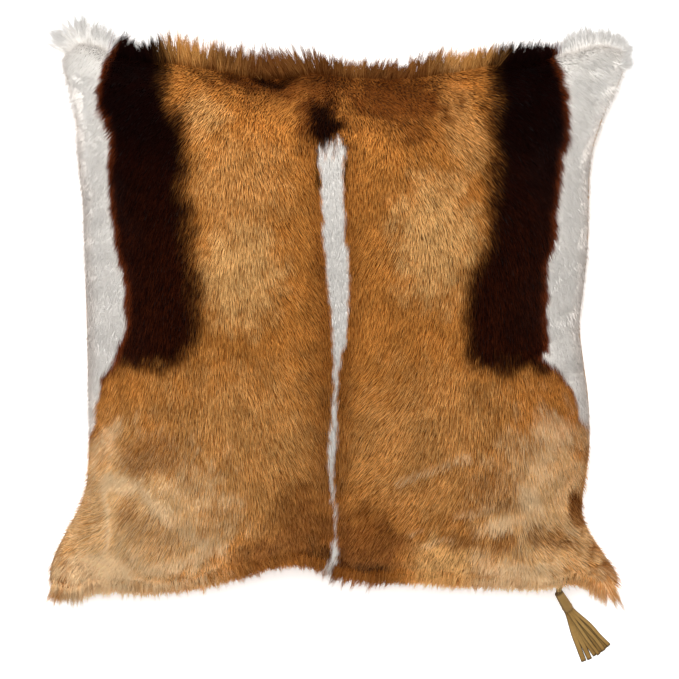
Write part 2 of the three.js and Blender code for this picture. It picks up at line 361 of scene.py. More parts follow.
@dataclass(frozen=True)
class Streak:
    """A soft marking along a line, in millimetres on the face's plan."""

    EDGE = (1.6, 0.4)
    RAGGED = 0.3

    points: tuple[Point, ...]
    width: float
    strength: float = 1.0

    def cover(self, x: Array, y: Array, ragged: Array) -> Array:
        """How much the marking covers at each place.

        Args:
            x: Places across the face, in millimetres.
            y: Places up the face, in millimetres.
            ragged: Noise that the edge follows, about -1 to 1.

        Returns:
            Cover from 0 to 1.
        """
        nearest = np.full(x.shape, 1e9)
        for (ax, ay), (bx, by) in zip(self.points, self.points[1:]):
            length = (bx - ax) ** 2 + (by - ay) ** 2
            share = np.clip(((x - ax) * (bx - ax) + (y - ay) * (by - ay)) / length, 0.0, 1.0)
            nearest = np.minimum(nearest, np.hypot(x - ax - share * (bx - ax), y - ay - share * (by - ay)))
        away = 2.0 * nearest / self.width + self.RAGGED * ragged
        return self.strength * smooth(*self.EDGE, away)


@dataclass(frozen=True)
class Edge:
    """A line down the face, as x for each y, in millimetres."""

    points: tuple[Point, ...]

    def at(self, y: Array) -> Array:
        """The line's x at each y."""
        rows = sorted(self.points, key=lambda point: point[1])
        return np.interp(y, [point[1] for point in rows], [point[0] for point in rows])


@dataclass(frozen=True)
class Markings:
    """Where the coat is white, dark, cream or brown, in millimetres on the face's plan, with painted shade in
    the dark table and painted highlight in the pale table.
    """

    left_outer: Edge = Edge((
        (-178, 211), (-184, 201), (-190, 176), (-191, 166), (-186, 156), (-180, 136), (-182, 111),
        (-181, 94), (-176, 59), (-168, 24), (-167, -6), (-172, -21), (-179, -36), (-186, -46),
        (-190, -63), (-192, -87), (-196, -98),
    ))
    left_inner: Edge = Edge((
        (-139, 206), (-134, 176), (-127, 166), (-121, 146), (-119, 121), (-122.5, 106), (-119, 79),
        (-115, 49), (-113, 19), (-110, -4), (-119, -26), (-128, -40),
    ))
    right_outer: Edge = Edge((
        (168, 209), (176, 195), (181, 179), (183, 149), (177, 111), (172, 79), (173, 64), (166, 42),
        (165, 8), (160, -26), (166, -26), (178, -46), (188, -61), (194, -88),
    ))
    right_inner: Edge = Edge((
        (120, 201), (123, 171), (120, 153), (123, 131), (122.5, 101), (120, 64), (108, 35), (103, 8),
        (102, -16), (106, -31), (112, -42),
    ))
    stripe_left: Edge = Edge((
        (-7, 150), (-15, 131), (-13, 102), (-11, 64), (-8, 24), (-5, 4), (-3, -31), (-4, -63),
        (-7, -90), (-8, -107), (-5, -134), (-4, -145), (-3, -173), (-5, -180), (-6, -204),
    ))
    stripe_right: Edge = Edge((
        (-3, 150), (7, 135), (5, 121), (3, 106), (5, 64), (8, 49), (8, 9), (7, -16), (3, -28),
        (0, -46), (-2, -96), (-4, -112), (-3, -140), (-2.2, -173), (-1, -180), (-1, -204),
    ))
    band_outer_edge: Point = (-1.5, 3.5)
    band_inner_edge: Point = (12.0, -11.0)
    band_foot: Point = (-46.0, -25.0)
    white_edge: Point = (1.5, -1.5)
    white_foot: Point = (-105.0, -83.0)
    stripe_edge: Point = (-1.1, 1.1)
    stripe_head: Point = (141.0, 125.0)
    rim_edge: Point = (8.0, 0.0)
    rim_foot: Point = (-70.0, -40.0)
    rim_shade: float = 0.9
    rim_in_band: float = 0.13
    ragged_size: float = 0.009
    ragged_fine_size: float = 0.0035
    strand_size: float = 0.0028
    drift_size: float = 0.024
    moved_by: Point = (1.1, 2.5)
    brown_in_band_edge: float = 2.4
    parting_reach: float = 7.0
    parting_from: tuple[float, ...] = (-150, -100, -76, -18, 30, 110, 165)
    parting_shade: tuple[float, ...] = (0.0, 0.2, 1.0, 0.95, 0.6, 0.45, 0.0)
    beside_reach: float = 9.0
    beside_shade: float = 0.55
    # The first four streaks are painted shade along the parting at the top seam; the rest are the coat's own
    # dark spots.
    dark: tuple[Blot | Streak, ...] = (
        Streak(((-83, 196), (-62, 190), (-46, 184)), 4.5, 0.75),
        Streak(((-46, 184), (-30, 193), (0, 196)), 4, 0.6),
        Streak(((4, 195), (22, 190)), 4, 0.6), Streak(((50, 191), (63, 190)), 3, 0.4),
        Streak(((-15.5, 100), (-16.5, 125), (-13, 142)), 3, 0.55),
        Streak(((6, 104), (7, 125), (4, 142)), 2.5, 0.5), Blot(-10, 153, 13, 19, 0, 0.9),
        Blot(21, -203, 26, 10, 0, 0.55), Blot(-14, -190, 15, 13, 0, 0.42), Blot(49, -207, 17, 4.5, 0, 0.4),
    )
    brown: tuple[Blot | Streak, ...] = (
        Blot(-60, 193, 50, 20, -10, 1.0), Blot(0, 193, 34, 11, 0, 0.8), Blot(-12, 162, 24, 36, 0, 1.0),
        Blot(45, 173, 43, 25, -8, 1.0), Blot(60, 153, 22, 17, 0, 0.8), Blot(-14, 184.5, 39, 16, 0, 0.9),
        Blot(-53, 177, 24, 13, 0, 0.55), Blot(21, -177, 31, 35, 0, 0.75), Blot(-26, -165, 27, 39, 0, 0.65),
        Blot(-60, -184.5, 24, 12.6, 20, 0.6), Blot(-6, -63, 19, 150, 0, 0.35),
        Blot(-149, -107, 25, 17, 40, 0.38), Blot(-166, -149, 8, 18, -20, 0.34),
        Blot(-146, -168, 28, 17, -35, 0.22), Blot(-197, -158, 8, 16, -30, 0.2),
        Blot(-199.4, -198.6, 10, 6.3, -30, 0.55), Blot(-168, -190, 7, 4.7, 0, 0.35),
        Blot(125.6, -133.5, 25, 19, 0, 0.34), Blot(130.5, -174.3, 13, 7, 0, 0.5),
        Blot(97.3, -172, 12, 8, 0, 0.5), Blot(143, -197, 4, 7, -25, 0.4),
        Blot(168, -171, 22, 9, -20, 0.42), Blot(187.6, -149, 5.5, 12.6, 0, 0.7),
    )
    cream: tuple[Blot | Streak, ...] = (
        Blot(-169.6, -129.5, 24, 9, -10, 1.0), Blot(-139.7, -147.6, 20, 9, -45, 0.85),
        Blot(-111.5, -171, 19, 7, -40, 0.7), Blot(-104.4, -185, 20, 7, 25, 0.7),
        Blot(-135.8, -196, 27, 7, 8, 0.8), Blot(-186.8, -198, 41, 17, 0, 1.0),
        Streak(((-184, -136), (-181.5, -147), (-181, -160), (-181, -180)), 5.0, 1.0),
        Blot(-183.7, -98, 9.4, 20, -20, 0.6),
        Streak(((-184, -134), (-170, -125), (-153, -132), (-144, -147), (-131, -161)), 8.5, 1.0),
        Blot(-193, -118, 6.3, 17, 0, 0.5), Blot(168, -91, 16, 19, 20, 0.65),
        Blot(159.4, -118, 12.6, 19, 10, 0.65), Blot(150.7, -141, 10, 16, 15, 0.95),
        Blot(131, -161.7, 19, 7, 12, 0.95), Blot(107.5, -150.7, 17, 4.7, 10, 0.45),
        Blot(184.5, -168, 6.3, 5.5, 0, 0.7), Blot(143, -199.4, 35, 12.6, 0, 0.8),
        Blot(162.5, -202.5, 14, 8.6, 0, 0.6), Blot(114.6, -188.4, 12.6, 9.4, 0, 0.5),
        Streak(((47, -127), (72, -118), (100, -109)), 6, 0.36), Streak(((67, -180), (87, -171)), 5, 0.36),
        Streak(((56, -166), (65, -163)), 4, 0.28),
    )
    bloom: tuple[Blot, ...] = (
        Blot(-160, -160, 70, 60, 0, 0.5), Blot(165, -150, 48, 66, 0, 0.45), Blot(210, -205, 22, 14, 0, 0.4),
    )
    # The pale blots on the upper face, left and right of the back, are painted highlight where the crown
    # catches the light; those low on the face are the coat's own paler patches.
    pale: tuple[Blot, ...] = (
        Blot(-80, -115, 85, 75, 0, 0.45), Blot(75, -105, 75, 65, 0, 0.4), Blot(-163, -157, 78, 60, 0, 1.0),
        Blot(-171, -94, 24, 24, 0, 0.5), Blot(158.6, -157, 59, 63, 0, 0.95),
        Blot(88, -188, 33, 22, 0, 0.95), Blot(-104.4, 161, 19, 19, 0, 0.6), Blot(-76, 36, 32, 42, 0, 1.0),
        Blot(76, 63, 33, 49, 0, 1.0), Blot(96, 149, 17, 39, 20, 0.5), Blot(17, -106, 17, 24, 0, 0.3),
        Blot(-77, 102, 39, 39, 0, 0.4),
    )

    def masks(self, plan: Array, spots: bool = True) -> dict[str, Array]:
        """Reads every marking at places on the plan.

        Args:
            plan: Rows that start with x and y, in metres.
            spots: Whether the dark spots, with the painted shade along the parting, are read too.

        Returns:
            One number from 0 to 1 a place, for white, dark, rim, cream, brown and pale.
        """
        ragged = wander(plan, self.ragged_size, 1.3) + 0.5 * wander(plan, self.ragged_fine_size, 7.7)
        strands = wander(plan * (1.0, 0.2, 1.0), self.strand_size, 5.5)
        drift = wander(plan, self.drift_size, 4.1)
        x = plan[:, 0] / MM + self.moved_by[0] * ragged
        y = plan[:, 1] / MM + self.moved_by[1] * drift
        from_left, from_right = x - self.left_outer.at(y), self.right_outer.at(y) - x
        flank = np.maximum(smooth(*self.white_edge, from_left), smooth(*self.white_edge, from_right))
        flank *= smooth(*self.white_foot, y + 5 * drift)
        stripe = smooth(*self.stripe_edge, x - self.stripe_left.at(y))
        stripe *= smooth(*self.stripe_edge, self.stripe_right.at(y) - x)
        stripe *= smooth(*self.stripe_head, y + 9 * strands)
        left = smooth(*self.band_outer_edge, from_left)
        left *= smooth(*self.band_inner_edge, x - self.left_inner.at(y) + 3 * drift)
        right = smooth(*self.band_outer_edge, from_right)
        right *= smooth(*self.band_inner_edge, self.right_inner.at(y) - x - 3 * drift)
        band = np.maximum(left, right) * smooth(*self.band_foot, y + 4 * ragged)
        from_edge = np.where(x < 0, from_left, from_right)
        rim = self.rim_shade * smooth(*self.rim_edge, from_edge) * smooth(*self.rim_foot, y)
        rim += self.rim_in_band * smooth(170, 10, y) * band
        cream = self._most(self.cream, x, y, ragged)
        bloom = self._most(self.bloom, x, y, ragged)
        brown = self._most(self.brown, x, y, ragged)
        brown = np.maximum(brown, self.brown_in_band_edge * band * (1 - band))
        # The dark table adds the coat's dark spots and the painted shade along the parting.
        if spots:
            band = np.maximum(band, self._most(self.dark, x, y, ragged))
        return {
            "white": np.clip(flank + stripe, 0, 1),
            "dark": np.clip(band, 0, 1),
            "rim": np.clip(rim, 0, 1),
            "cream": np.maximum(cream * (1 - 0.4 * brown), bloom * np.clip(1 - 2 * brown, 0, 1)),
            "brown": brown,
            "pale": self._most(self.pale, x, y, ragged) * (1 - 0.8 * brown),
        }

    def shade(self, plan: Array, seam: Array) -> Array:
        """How dark the coat lies along the top seam and beside the stripe.

        Args:
            plan: Rows that start with x and y, in metres.
            seam: The top seam's places, in metres.

        Returns:
            Shade from 0 to 1.
        """
        x, y = plan[:, 0] / MM, plan[:, 1] / MM
        order = np.argsort(seam[:, 0])
        below = np.interp(x, seam[order, 0] / MM, seam[order, 1] / MM) - y
        parting = np.exp(-((below / self.parting_reach) ** 2)) * (0.8 + 0.3 * wander(plan, 0.011, 3.3))
        parting *= np.interp(x, self.parting_from, self.parting_shade)
        left = np.maximum(self.stripe_left.at(y) - x, 0)
        right = np.maximum(x - self.stripe_right.at(y), 0)
        beside = np.exp(-(((left + right) / self.beside_reach) ** 2)) * smooth(150, 110, y)
        beside *= smooth(0.0, 1.5, left + right)
        return np.clip(parting + self.beside_shade * beside, 0, 1)

    @staticmethod
    def _most(marks: tuple[Blot | Streak, ...], x: Array, y: Array, ragged: Array) -> Array:
        """The strongest cover of several markings."""
        return np.max([spot.cover(x, y, ragged) for spot in marks], axis=0)


@dataclass(frozen=True)
class Lie:
    """Which way the hair lies: x, y in millimetres, and degrees from straight down, + to the right."""

    strokes: tuple[tuple[float, float, float], ...] = (
        (-126, 195, -65), (-108, 171, -40), (-102, 123, -18), (-78, 123, 12), (-68, 172, -15),
        (-71, 155, -5), (-83, 182, -38), (-45, 179, -30), (-121, 190, -55), (-133, 176, -42),
        (-130, 146, -35),
        (-162, 111, -22), (-184, 171, -40), (-177, 94, -15), (-195, 99, -2), (-204, 207, -30),
        (-24, 190, -70), (-17, 176, -45), (-35, 174, -40), (-4, 162, -15), (24, 183, 35),
        (38, 176, 45), (46, 162, 38), (60, 162, 40), (24, 141, -5), (31, 127, -15), (53, 134, 20),
        (-35, 116, 28), (-38, 134, 15), (-91, 104, -2), (-61, 119, 15), (77, 164, 42), (99, 182, 60),
        (77, 119, 25), (107, 112, 30), (16, 179, 30), (-99, 63, -20), (-69, 55, 5), (-30, 71, 30),
        (-26, 16, 35),
        (-22, -47, 38), (-16, -94, 35), (33, -63, -50), (13, -55, -40), (29, 55, -30), (80, -8, -15),
        (53, -31, -25), (53, -94, -30), (72, -94, -20), (104, -78, -5), (159, -63, 3), (174, -102, 5),
        (-26, -110, 32), (-69, -63, 15), (-108, -63, 0), (-148, -63, -8), (-173, -106, -28),
        (-204, -160, -65), (-162, -166, -32), (-114, -142, -5), (-78, -190, -5), (-60, -196, -20),
        (-216, -214, -20), (92, -100, -8), (122, -130, -12), (164, -130, 5), (176, -178, 48),
        (200, -184, 55), (212, -203, 45), (116, -196, -20), (92, -196, -20), (80, -124, -35),
        (86, -173, -35), (112, 197, 80), (121, 181, 60), (121, 163, 50), (112, 146, 45),
        (137, 125, 35), (121, 112, 35), (181, 210, 75), (181, 183, 55), (181, 172, 45),
        (181, 159, 28), (178, 125, 15), (188, 202, 45), (188, 159, 30), (188, 125, 12),
        (-20, -160, 20), (15, -150, -35), (30, -120, -48), (40, -150, -45), (20, -180, -35),
        (150, 40, 8), (-150, 30, -10), (190, 30, 2), (-190, 0, 2),
    )
    reach: float = 9.0
    falloff: float = 1.6
    fold_reach: float = 9.0
    fold_pull: float = 2.5

    def directions(self, plan: Array, normals: Array, markings: Markings) -> Array:
        """The way the hair points along the surface.

        Args:
            plan: Rows that start with x and y, in metres.
            normals: The surface's normals there.
            markings: The coat, for the place of the stripe down the back.

        Returns:
            Vectors of length one in the surface.
        """
        x, y = plan[:, 0] / MM, plan[:, 1] / MM
        total = np.zeros((len(plan), 2))
        for sx, sy, degrees in self.strokes:
            weight = ((x - sx) ** 2 + (y - sy) ** 2 + self.reach**2) ** -self.falloff
            angle = math.radians(degrees)
            total += weight[:, None] * np.array([math.sin(angle), -math.cos(angle)])
        total /= np.linalg.norm(total, axis=1, keepdims=True)
        middle = (markings.stripe_left.at(y) + markings.stripe_right.at(y)) / 2
        straight = np.exp(-(((x - middle) / self.fold_reach) ** 2)) * smooth(165, 140, y)
        total += self.fold_pull * straight[:, None] * np.array([0.0, -1.0])
        fall = -np.sum(total * normals[:, :2], axis=1) / np.maximum(normals[:, 2], 0.3)
        return unit(np.column_stack([total, fall]))


class Hue(Enum):
    """The coat's colours, in linear light."""

    TAN = (0.675, 0.266, 0.052)
    # PALE is both the coat's paler tan and the painted highlight on the upper face.
    PALE = (0.90, 0.495, 0.168)
    BROWN = (0.25, 0.075, 0.013)
    CREAM = (0.97, 0.685, 0.385)
    DARK = (0.008, 0.0011, 0.0005)
    RIM = (0.20, 0.040, 0.009)
    WHITE = (0.97, 0.93, 0.875)

    @property
    def label(self) -> str:
        """The colour's name as a socket."""
        return self.name.title()


class CoatGroup:
    """The shader group that turns the coat's marks into a colour, for the hair and the skin under it."""

    SHADED = (0.42, 0.30, 0.25)

    def __init__(self) -> None:
        """Builds the group once, for every material that uses it."""
        takes = {
            "Coat": "Vector", "Tone": "Vector", "Shade": "Float", "Random": "Vector", "Mottle": "Float",
            "Scatter": "Float", **{hue.label: "Color" for hue in Hue},
        }
        self.tree = group_with("coat colour", "ShaderNodeTree", takes, {"Color": "Color"})
        draw = Canvas(self.tree)
        given = draw.add("NodeGroupInput").outputs
        white, dark, rim = draw.split(given["Coat"])
        cream, brown, pale = draw.split(given["Tone"])
        chance = draw.split(given["Random"])
        clear = draw.math("SUBTRACT", 1.0, dark, clamp=True)
        fuller = draw.math("SUBTRACT", 1.0, draw.math("POWER", clear, 1.5))
        colour = given[Hue.TAN.label]
        for mask, hue, chooser, amount in (
            (pale, Hue.PALE, 0, 0.5), (brown, Hue.BROWN, 1, 0.6), (cream, Hue.CREAM, 0, 0.8),
            (fuller, Hue.DARK, 0, 0.9), (rim, Hue.RIM, 1, 0.6), (white, Hue.WHITE, 1, 1.0),
        ):
            colour = self._layer(draw, given, colour, mask, given[hue.label], chance[chooser], amount)
        # Painted shade: the colour darkened where the Shade attribute says, along the parting, beside the
        # stripe and at the sides.
        shaded_colour = draw.mix(1.0, colour, self.SHADED, "MULTIPLY")
        shaded = draw.math("MULTIPLY", given["Shade"], draw.math("MULTIPLY_ADD", white, -0.4, 0.85))
        colour = draw.mix(shaded, colour, shaded_colour)
        swing = draw.math("MULTIPLY_ADD", white, -0.22, 0.28)
        slow = draw.math("SUBTRACT", draw.step(given["Mottle"], 0.3, 0.7), 0.5)
        bright = draw.math("MULTIPLY_ADD", slow, swing, 1.0)
        colour = draw.vector("SCALE", colour, bright)
        draw.add("NodeGroupOutput", {"Color": colour})

    @staticmethod
    def _layer(
        draw: Canvas, given: bpy.types.bpy_prop_collection, under: object, mask: object, colour: object,
        chance: object, amount: float,
    ) -> bpy.types.NodeSocket:
        """Lays one colour over another, hair by hair at the mask's edge."""
        spread = draw.math("MULTIPLY", draw.math("SUBTRACT", chance, 0.5), given["Scatter"])
        middling = draw.math("MULTIPLY", mask, draw.math("SUBTRACT", 1.0, mask))
        moved = draw.math("MULTIPLY_ADD", draw.math("MULTIPLY", spread, middling), 4.0 * amount, mask)
        return draw.mix(draw.math("MULTIPLY", moved, 1.0, clamp=True), under, colour)

    def place(self, draw: Canvas, chance: object, mottle: object, scatter: float) -> bpy.types.NodeSocket:
        """Puts the group in a material.

        Args:
            draw: The material's canvas.
            chance: A random vector from 0 to 1.
            mottle: Slow noise about 0.5.
            scatter: How far single hairs leave their marking.

        Returns:
            The colour's socket.
        """
        node = draw.add("ShaderNodeGroup", node_tree=self.tree)
        values = {
            "Coat": draw.attribute("coat"), "Tone": draw.attribute("tone"),
            "Shade": draw.attribute("shade", "Fac"), "Random": chance, "Mottle": mottle,
            "Scatter": scatter, **{hue.label: hue.value for hue in Hue},
        }
        for name, value in values.items():
            draw.feed(node.inputs[name], value)
        return node.outputs["Color"]


class NapGroup:
    """The shader group for suede: a brushed nap with its colour, height and roughness."""

    CUT = (0.035, 0.016, 0.006)

    def __init__(self) -> None:
        """Builds the group once, for the back and the tassel."""
        takes = {
            "Vector": "Vector", "Color": "Color", "Worn": "Color", "Cut Edge": "Float", "Brushed": "Float",
        }
        gives = {"Color": "Color", "Height": "Float", "Roughness": "Float"}
        self.tree = group_with("suede nap", "ShaderNodeTree", takes, gives)
        draw = Canvas(self.tree)
        given = draw.add("NodeGroupInput").outputs
        place = given["Vector"]
        brushed = draw.noise(place, 22.0, 3.0, 0.6)
        nap = draw.noise(place, 900.0, 4.0, 0.7)
        grain = draw.add("ShaderNodeTexVoronoi", {"Vector": place, "Scale": 420.0})
        patches = draw.step(brushed.outputs[0], 0.38, 0.66)
        colour = draw.mix(draw.math("MULTIPLY", patches, given["Brushed"]), given["Color"], given["Worn"])
        fine = draw.math("MULTIPLY_ADD", nap.outputs[0], 0.7, 0.65)
        colour = draw.vector("SCALE", colour, fine)
        colour = draw.mix(draw.math("MULTIPLY", given["Cut Edge"], 0.8), colour, self.CUT)
        height = draw.math("ADD", nap.outputs[0], draw.math("MULTIPLY", grain.outputs[0], 0.35))
        rough = draw.math("MULTIPLY_ADD", patches, -0.08, 0.95)
        draw.add("NodeGroupOutput", {"Color": colour, "Height": height, "Roughness": rough})


def material_of(name: str) -> tuple[bpy.types.Material, Canvas, bpy.types.Node]:
    """Starts a material.

    Args:
        name: The material's name.

    Returns:
        The material, its canvas and its Principled node.
    """
    made = bpy.data.materials.new(name)
    made.use_nodes = True
    return made, Canvas(made.node_tree), made.node_tree.nodes["Principled BSDF"]


@dataclass(frozen=True)
class HairFinish:
    """Short springbok hair, with painted shade toward the root, where other hair shades it, and a painted
    highlight toward the tip.
    """

    name: str = "springbok hair"
    # root and tip scale the colour along each hair: painted shade at the root, painted highlight at the tip.
    root: Colour = (0.26, 0.18, 0.12)
    tip: Colour = (1.26, 1.30, 1.36)
    dull: Colour = (0.58, 0.46, 0.33)
    bright: Colour = (1.36, 1.47, 1.62)
    scatter: float = 0.9
    roughness: float = 0.6
    shine: float = 0.02

    def material(self, coat: CoatGroup) -> bpy.types.Material:
        """Makes the hair's material.

        Args:
            coat: The group that colours the coat.

        Returns:
            The material.
        """
        made, draw, skin = material_of(self.name)
        slow = draw.noise(draw.place(), 45.0)
        chance = draw.attribute("chance")
        colour = coat.place(draw, chance, slow.outputs[0], self.scatter)
        # Painted shade and highlight along the hair: darker at the root, lighter at the tip.
        along = draw.mix(draw.step(draw.attribute("along", "Fac"), 0.0, 0.85), self.root, self.tip)
        uneven = draw.mix(draw.split(chance)[2], self.dull, self.bright)
        tint = draw.vector("MULTIPLY", along, uneven)
        white, cream = draw.split(draw.attribute("coat"))[0], draw.split(draw.attribute("tone"))[0]
        calm_white, calm_cream = draw.math("MULTIPLY", white, 0.97), draw.math("MULTIPLY", cream, 0.95)
        calm = draw.math("MAXIMUM", calm_white, calm_cream)
        tint = draw.mix(calm, tint, (1.0, 1.0, 1.0))
        draw.feed(skin.inputs["Base Color"], draw.vector("MULTIPLY", colour, tint))
        skin.inputs["Roughness"].default_value = self.roughness
        skin.inputs["Specular IOR Level"].default_value = self.shine
        return made


@dataclass(frozen=True)
class SkinFinish:
    """The hide under its hair, in the coat's colours darkened by painted shade from the hair over it, less so
    under white and cream.
    """

    # depth and depth_under_white scale the coat's colour down: painted shade from the hair above the skin.
    depth: float = 0.5
    depth_under_white: float = 0.8
    roughness: float = 0.85

    def material(self, coat: CoatGroup) -> bpy.types.Material:
        """Makes the skin's material.

        Args:
            coat: The group that colours the coat.

        Returns:
            The material.
        """
        made, draw, skin = material_of("hide skin")
        slow, fine = draw.noise(draw.place(), 45.0), draw.noise(draw.place(), 700.0, 3.0)
        colour = coat.place(draw, fine.outputs[1], slow.outputs[0], 0.6)
        white, cream = draw.split(draw.attribute("coat"))[0], draw.split(draw.attribute("tone"))[0]
        # Painted shade: the skin is darker where hair covers it, less so under white and cream hair.
        light = draw.math("MAXIMUM", white, cream)
        depth = draw.math("MULTIPLY_ADD", light, self.depth_under_white - self.depth, self.depth)
        draw.feed(skin.inputs["Base Color"], draw.vector("SCALE", colour, depth))
        draw.bump(skin, 0.6, 0.0006, fine.outputs[0])
        skin.inputs["Roughness"].default_value = self.roughness
        return made


@dataclass(frozen=True)
class SuedeFinish:
    """Brushed suede with a fine nap and darker cut edges."""

    name: str
    colour: Colour
    worn: Colour
    brushed: float
    sheen: float = 0.25
    sheen_roughness: float = 0.6
    shine: float = 0.15

    def material(self, nap: NapGroup) -> bpy.types.Material:
        """Makes the suede's material.

        Args:
            nap: The group that draws the nap.

        Returns:
            The material.
        """
        made, draw, skin = material_of(self.name)
        node = draw.add("ShaderNodeGroup", node_tree=nap.tree)
        values = {
            "Vector": draw.place(), "Color": self.colour,
            "Worn": self.worn, "Cut Edge": draw.attribute("cut_edge", "Fac"), "Brushed": self.brushed,
        }
        for name, value in values.items():
            draw.feed(node.inputs[name], value)
        draw.feed(skin.inputs["Base Color"], node.outputs["Color"])
        draw.feed(skin.inputs["Roughness"], node.outputs["Roughness"])
        draw.bump(skin, 0.7, 0.0005, node.outputs["Height"])
        skin.inputs["Specular IOR Level"].default_value = self.shine
        skin.inputs["Sheen Weight"].default_value = self.sheen
        skin.inputs["Sheen Roughness"].default_value = self.sheen_roughness
        return made


@dataclass(frozen=True)
class HairSizes:
    """What the hair tree takes: sizes in metres, and how the hair strays."""

    width: float = 0.0008
    flatness: float = 0.42
    clump: float = 0.0062
    stray: float = 0.27
    frizz: float = 0.09


class HairTree:
    """The Geometry Nodes tree that grows one tapering hair at each place."""

    TAKES = {
        "Hide": "Geometry", "Scatter": "Bool", "Density": "Float", "Seed": "Int", "Width": "Float",
        "Flatness": "Float", "Clump Size": "Float", "Stray": "Float", "Frizz": "Float",
        "Map Middle": "Vector", "Map Size": "Float", "Material": "Material",
    }
    LENGTHS = (0.72, 1.18)
    CONE = {
        "Vertices": 3, "Side Segments": 1, "Fill Segments": 1, "Radius Top": 0.0,
        "Radius Bottom": 0.577, "Depth": 1.0,
    }
    MAP_MARGIN = 0.06

    def __init__(self) -> None:
        """Builds the tree once, for every piece of fur."""
        self.tree = group_with("hair on hide", "GeometryNodeTree", self.TAKES, {"Hair": "Geometry"})
        self.tree.is_modifier = True
        draw = Canvas(self.tree)
        given = draw.add("NodeGroupInput").outputs
        points = self._places(draw, given)
        ahead = self._ahead(draw, given)
        turned = draw.add(
            "FunctionNodeAxesToRotation",
            {0: ahead, 1: self._named(draw, "upright")}, primary_axis="Z", secondary_axis="Y",
        )
        thick = draw.math("MULTIPLY", given["Width"], given["Flatness"])
        size = draw.add("ShaderNodeCombineXYZ", {0: given["Width"], 1: thick, 2: self._grown(draw)})
        planted = draw.add("GeometryNodeInstanceOnPoints", {
            "Points": points, "Instance": self._hair(draw), "Rotation": turned.outputs[0],
            "Scale": size.outputs[0],
        })
        whole = draw.add("GeometryNodeRealizeInstances", {0: planted.outputs[0]}).outputs[0]
        whole = self._mapped(draw, given, whole)
        dressed = draw.add("GeometryNodeSetMaterial", {"Geometry": whole, "Material": given["Material"]})
        draw.add("NodeGroupOutput", {0: dressed.outputs[0]})

    @staticmethod
    def _named(draw: Canvas, name: str, kind: str = "FLOAT_VECTOR") -> bpy.types.NodeSocket:
        """Reads an attribute of the places."""
        node = draw.add("GeometryNodeInputNamedAttribute", {"Name": name}, data_type=kind)
        return node.outputs["Attribute"]

    @staticmethod
    def _stored(
        draw: Canvas, whole: object, name: str, value: object, kind: str, domain: str = "POINT"
    ) -> bpy.types.NodeSocket:
        """Stores a value under a name."""
        node = draw.add(
            "GeometryNodeStoreNamedAttribute", {"Geometry": whole, "Name": name, "Value": value},
            data_type=kind, domain=domain,
        )
        return node.outputs[0]

    def _places(self, draw: Canvas, given: bpy.types.bpy_prop_collection) -> bpy.types.NodeSocket:
        """Scatters places over the hide, or takes each vertex as one, and gives each its chances."""
        thickly = draw.math("MULTIPLY", given["Density"], self._named(draw, "share", "FLOAT"))
        strewn = draw.add(
            "GeometryNodeDistributePointsOnFaces",
            {"Mesh": given["Hide"], "Density": thickly, "Seed": given["Seed"]}, distribute_method="RANDOM",
        )
        given_points = draw.add("GeometryNodeMeshToPoints", {"Mesh": given["Hide"]})
        chosen = draw.add("GeometryNodeSwitch", input_type="GEOMETRY")
        draw.feed(chosen.inputs["Switch"], given["Scatter"])
        draw.feed(chosen.inputs["False"], given_points.outputs[0])
        draw.feed(chosen.inputs["True"], strewn.outputs["Points"])
        chance = draw.add(
            "FunctionNodeRandomValue",
            {0: (0.0, 0.0, 0.0), 1: (1.0, 1.0, 1.0), 8: given["Seed"]}, data_type="FLOAT_VECTOR",
        )
        return self._stored(draw, chosen.outputs[0], "chance", chance.outputs[0], "FLOAT_VECTOR")

    def _ahead(self, draw: Canvas, given: bpy.types.bpy_prop_collection) -> bpy.types.NodeSocket:
        """The way each hair points: the coat's lie, its rise, and how its clump and the hair stray."""
        rise = self._named(draw, "rise", "FLOAT")
        level = draw.vector("SCALE", self._named(draw, "lay"), draw.math("COSINE", rise))
        up = draw.vector("SCALE", self._named(draw, "upright"), draw.math("SINE", rise))
        clumps = draw.add(
            "ShaderNodeTexNoise",
            {"Scale": draw.math("DIVIDE", 1.0, given["Clump Size"]), "Detail": 1.5, "Roughness": 0.6},
        )
        amount = draw.math("MULTIPLY", given["Stray"], self._named(draw, "loose", "FLOAT"))
        stray = draw.vector("SCALE", draw.vector("SUBTRACT", clumps.outputs[1], (0.5, 0.5, 0.5)), amount)
        frizz = draw.add(
            "FunctionNodeRandomValue",
            {0: (-1.0, -1.0, -0.6), 1: (1.0, 1.0, 0.6), 8: 11}, data_type="FLOAT_VECTOR",
        )
        loose = draw.vector("SCALE", frizz.outputs[0], given["Frizz"])
        straight, strayed = draw.vector("ADD", level, up), draw.vector("ADD", stray, loose)
        return draw.vector("NORMALIZE", draw.vector("ADD", straight, strayed))

    def _grown(self, draw: Canvas) -> bpy.types.NodeSocket:
        """Each hair's length."""
        inputs = {2: self.LENGTHS[0], 3: self.LENGTHS[1], 8: 5}
        chance = draw.add("FunctionNodeRandomValue", inputs, data_type="FLOAT")
        return draw.math("MULTIPLY", self._named(draw, "grow", "FLOAT"), chance.outputs[1])

    def _hair(self, draw: Canvas) -> bpy.types.NodeSocket:
        """One closed tapering hair along Z, one long and one wide, that knows how far along it a place is."""
        cone = draw.add("GeometryNodeMeshCone", self.CONE, fill_type="NGON")
        height = draw.split(draw.add("GeometryNodeInputPosition").outputs[0])[2]
        marked = self._stored(draw, cone.outputs[0], "along", height, "FLOAT")
        return draw.add("GeometryNodeSetShadeSmooth", {0: marked}).outputs[0]

    def _mapped(
        self, draw: Canvas, given: bpy.types.bpy_prop_collection, whole: object
    ) -> bpy.types.NodeSocket:
        """Maps every hair from above, so that the map follows the coat."""
        place = draw.add("GeometryNodeInputPosition").outputs[0]
        shift = draw.vector("SUBTRACT", place, given["Map Middle"])
        span = draw.math("DIVIDE", 1.0, given["Map Size"])
        seen = draw.vector("ADD", draw.vector("SCALE", shift, span), (0.5, 0.5, 0.0))
        return self._stored(draw, whole, BAKE_MAP, seen, "FLOAT2", "CORNER")

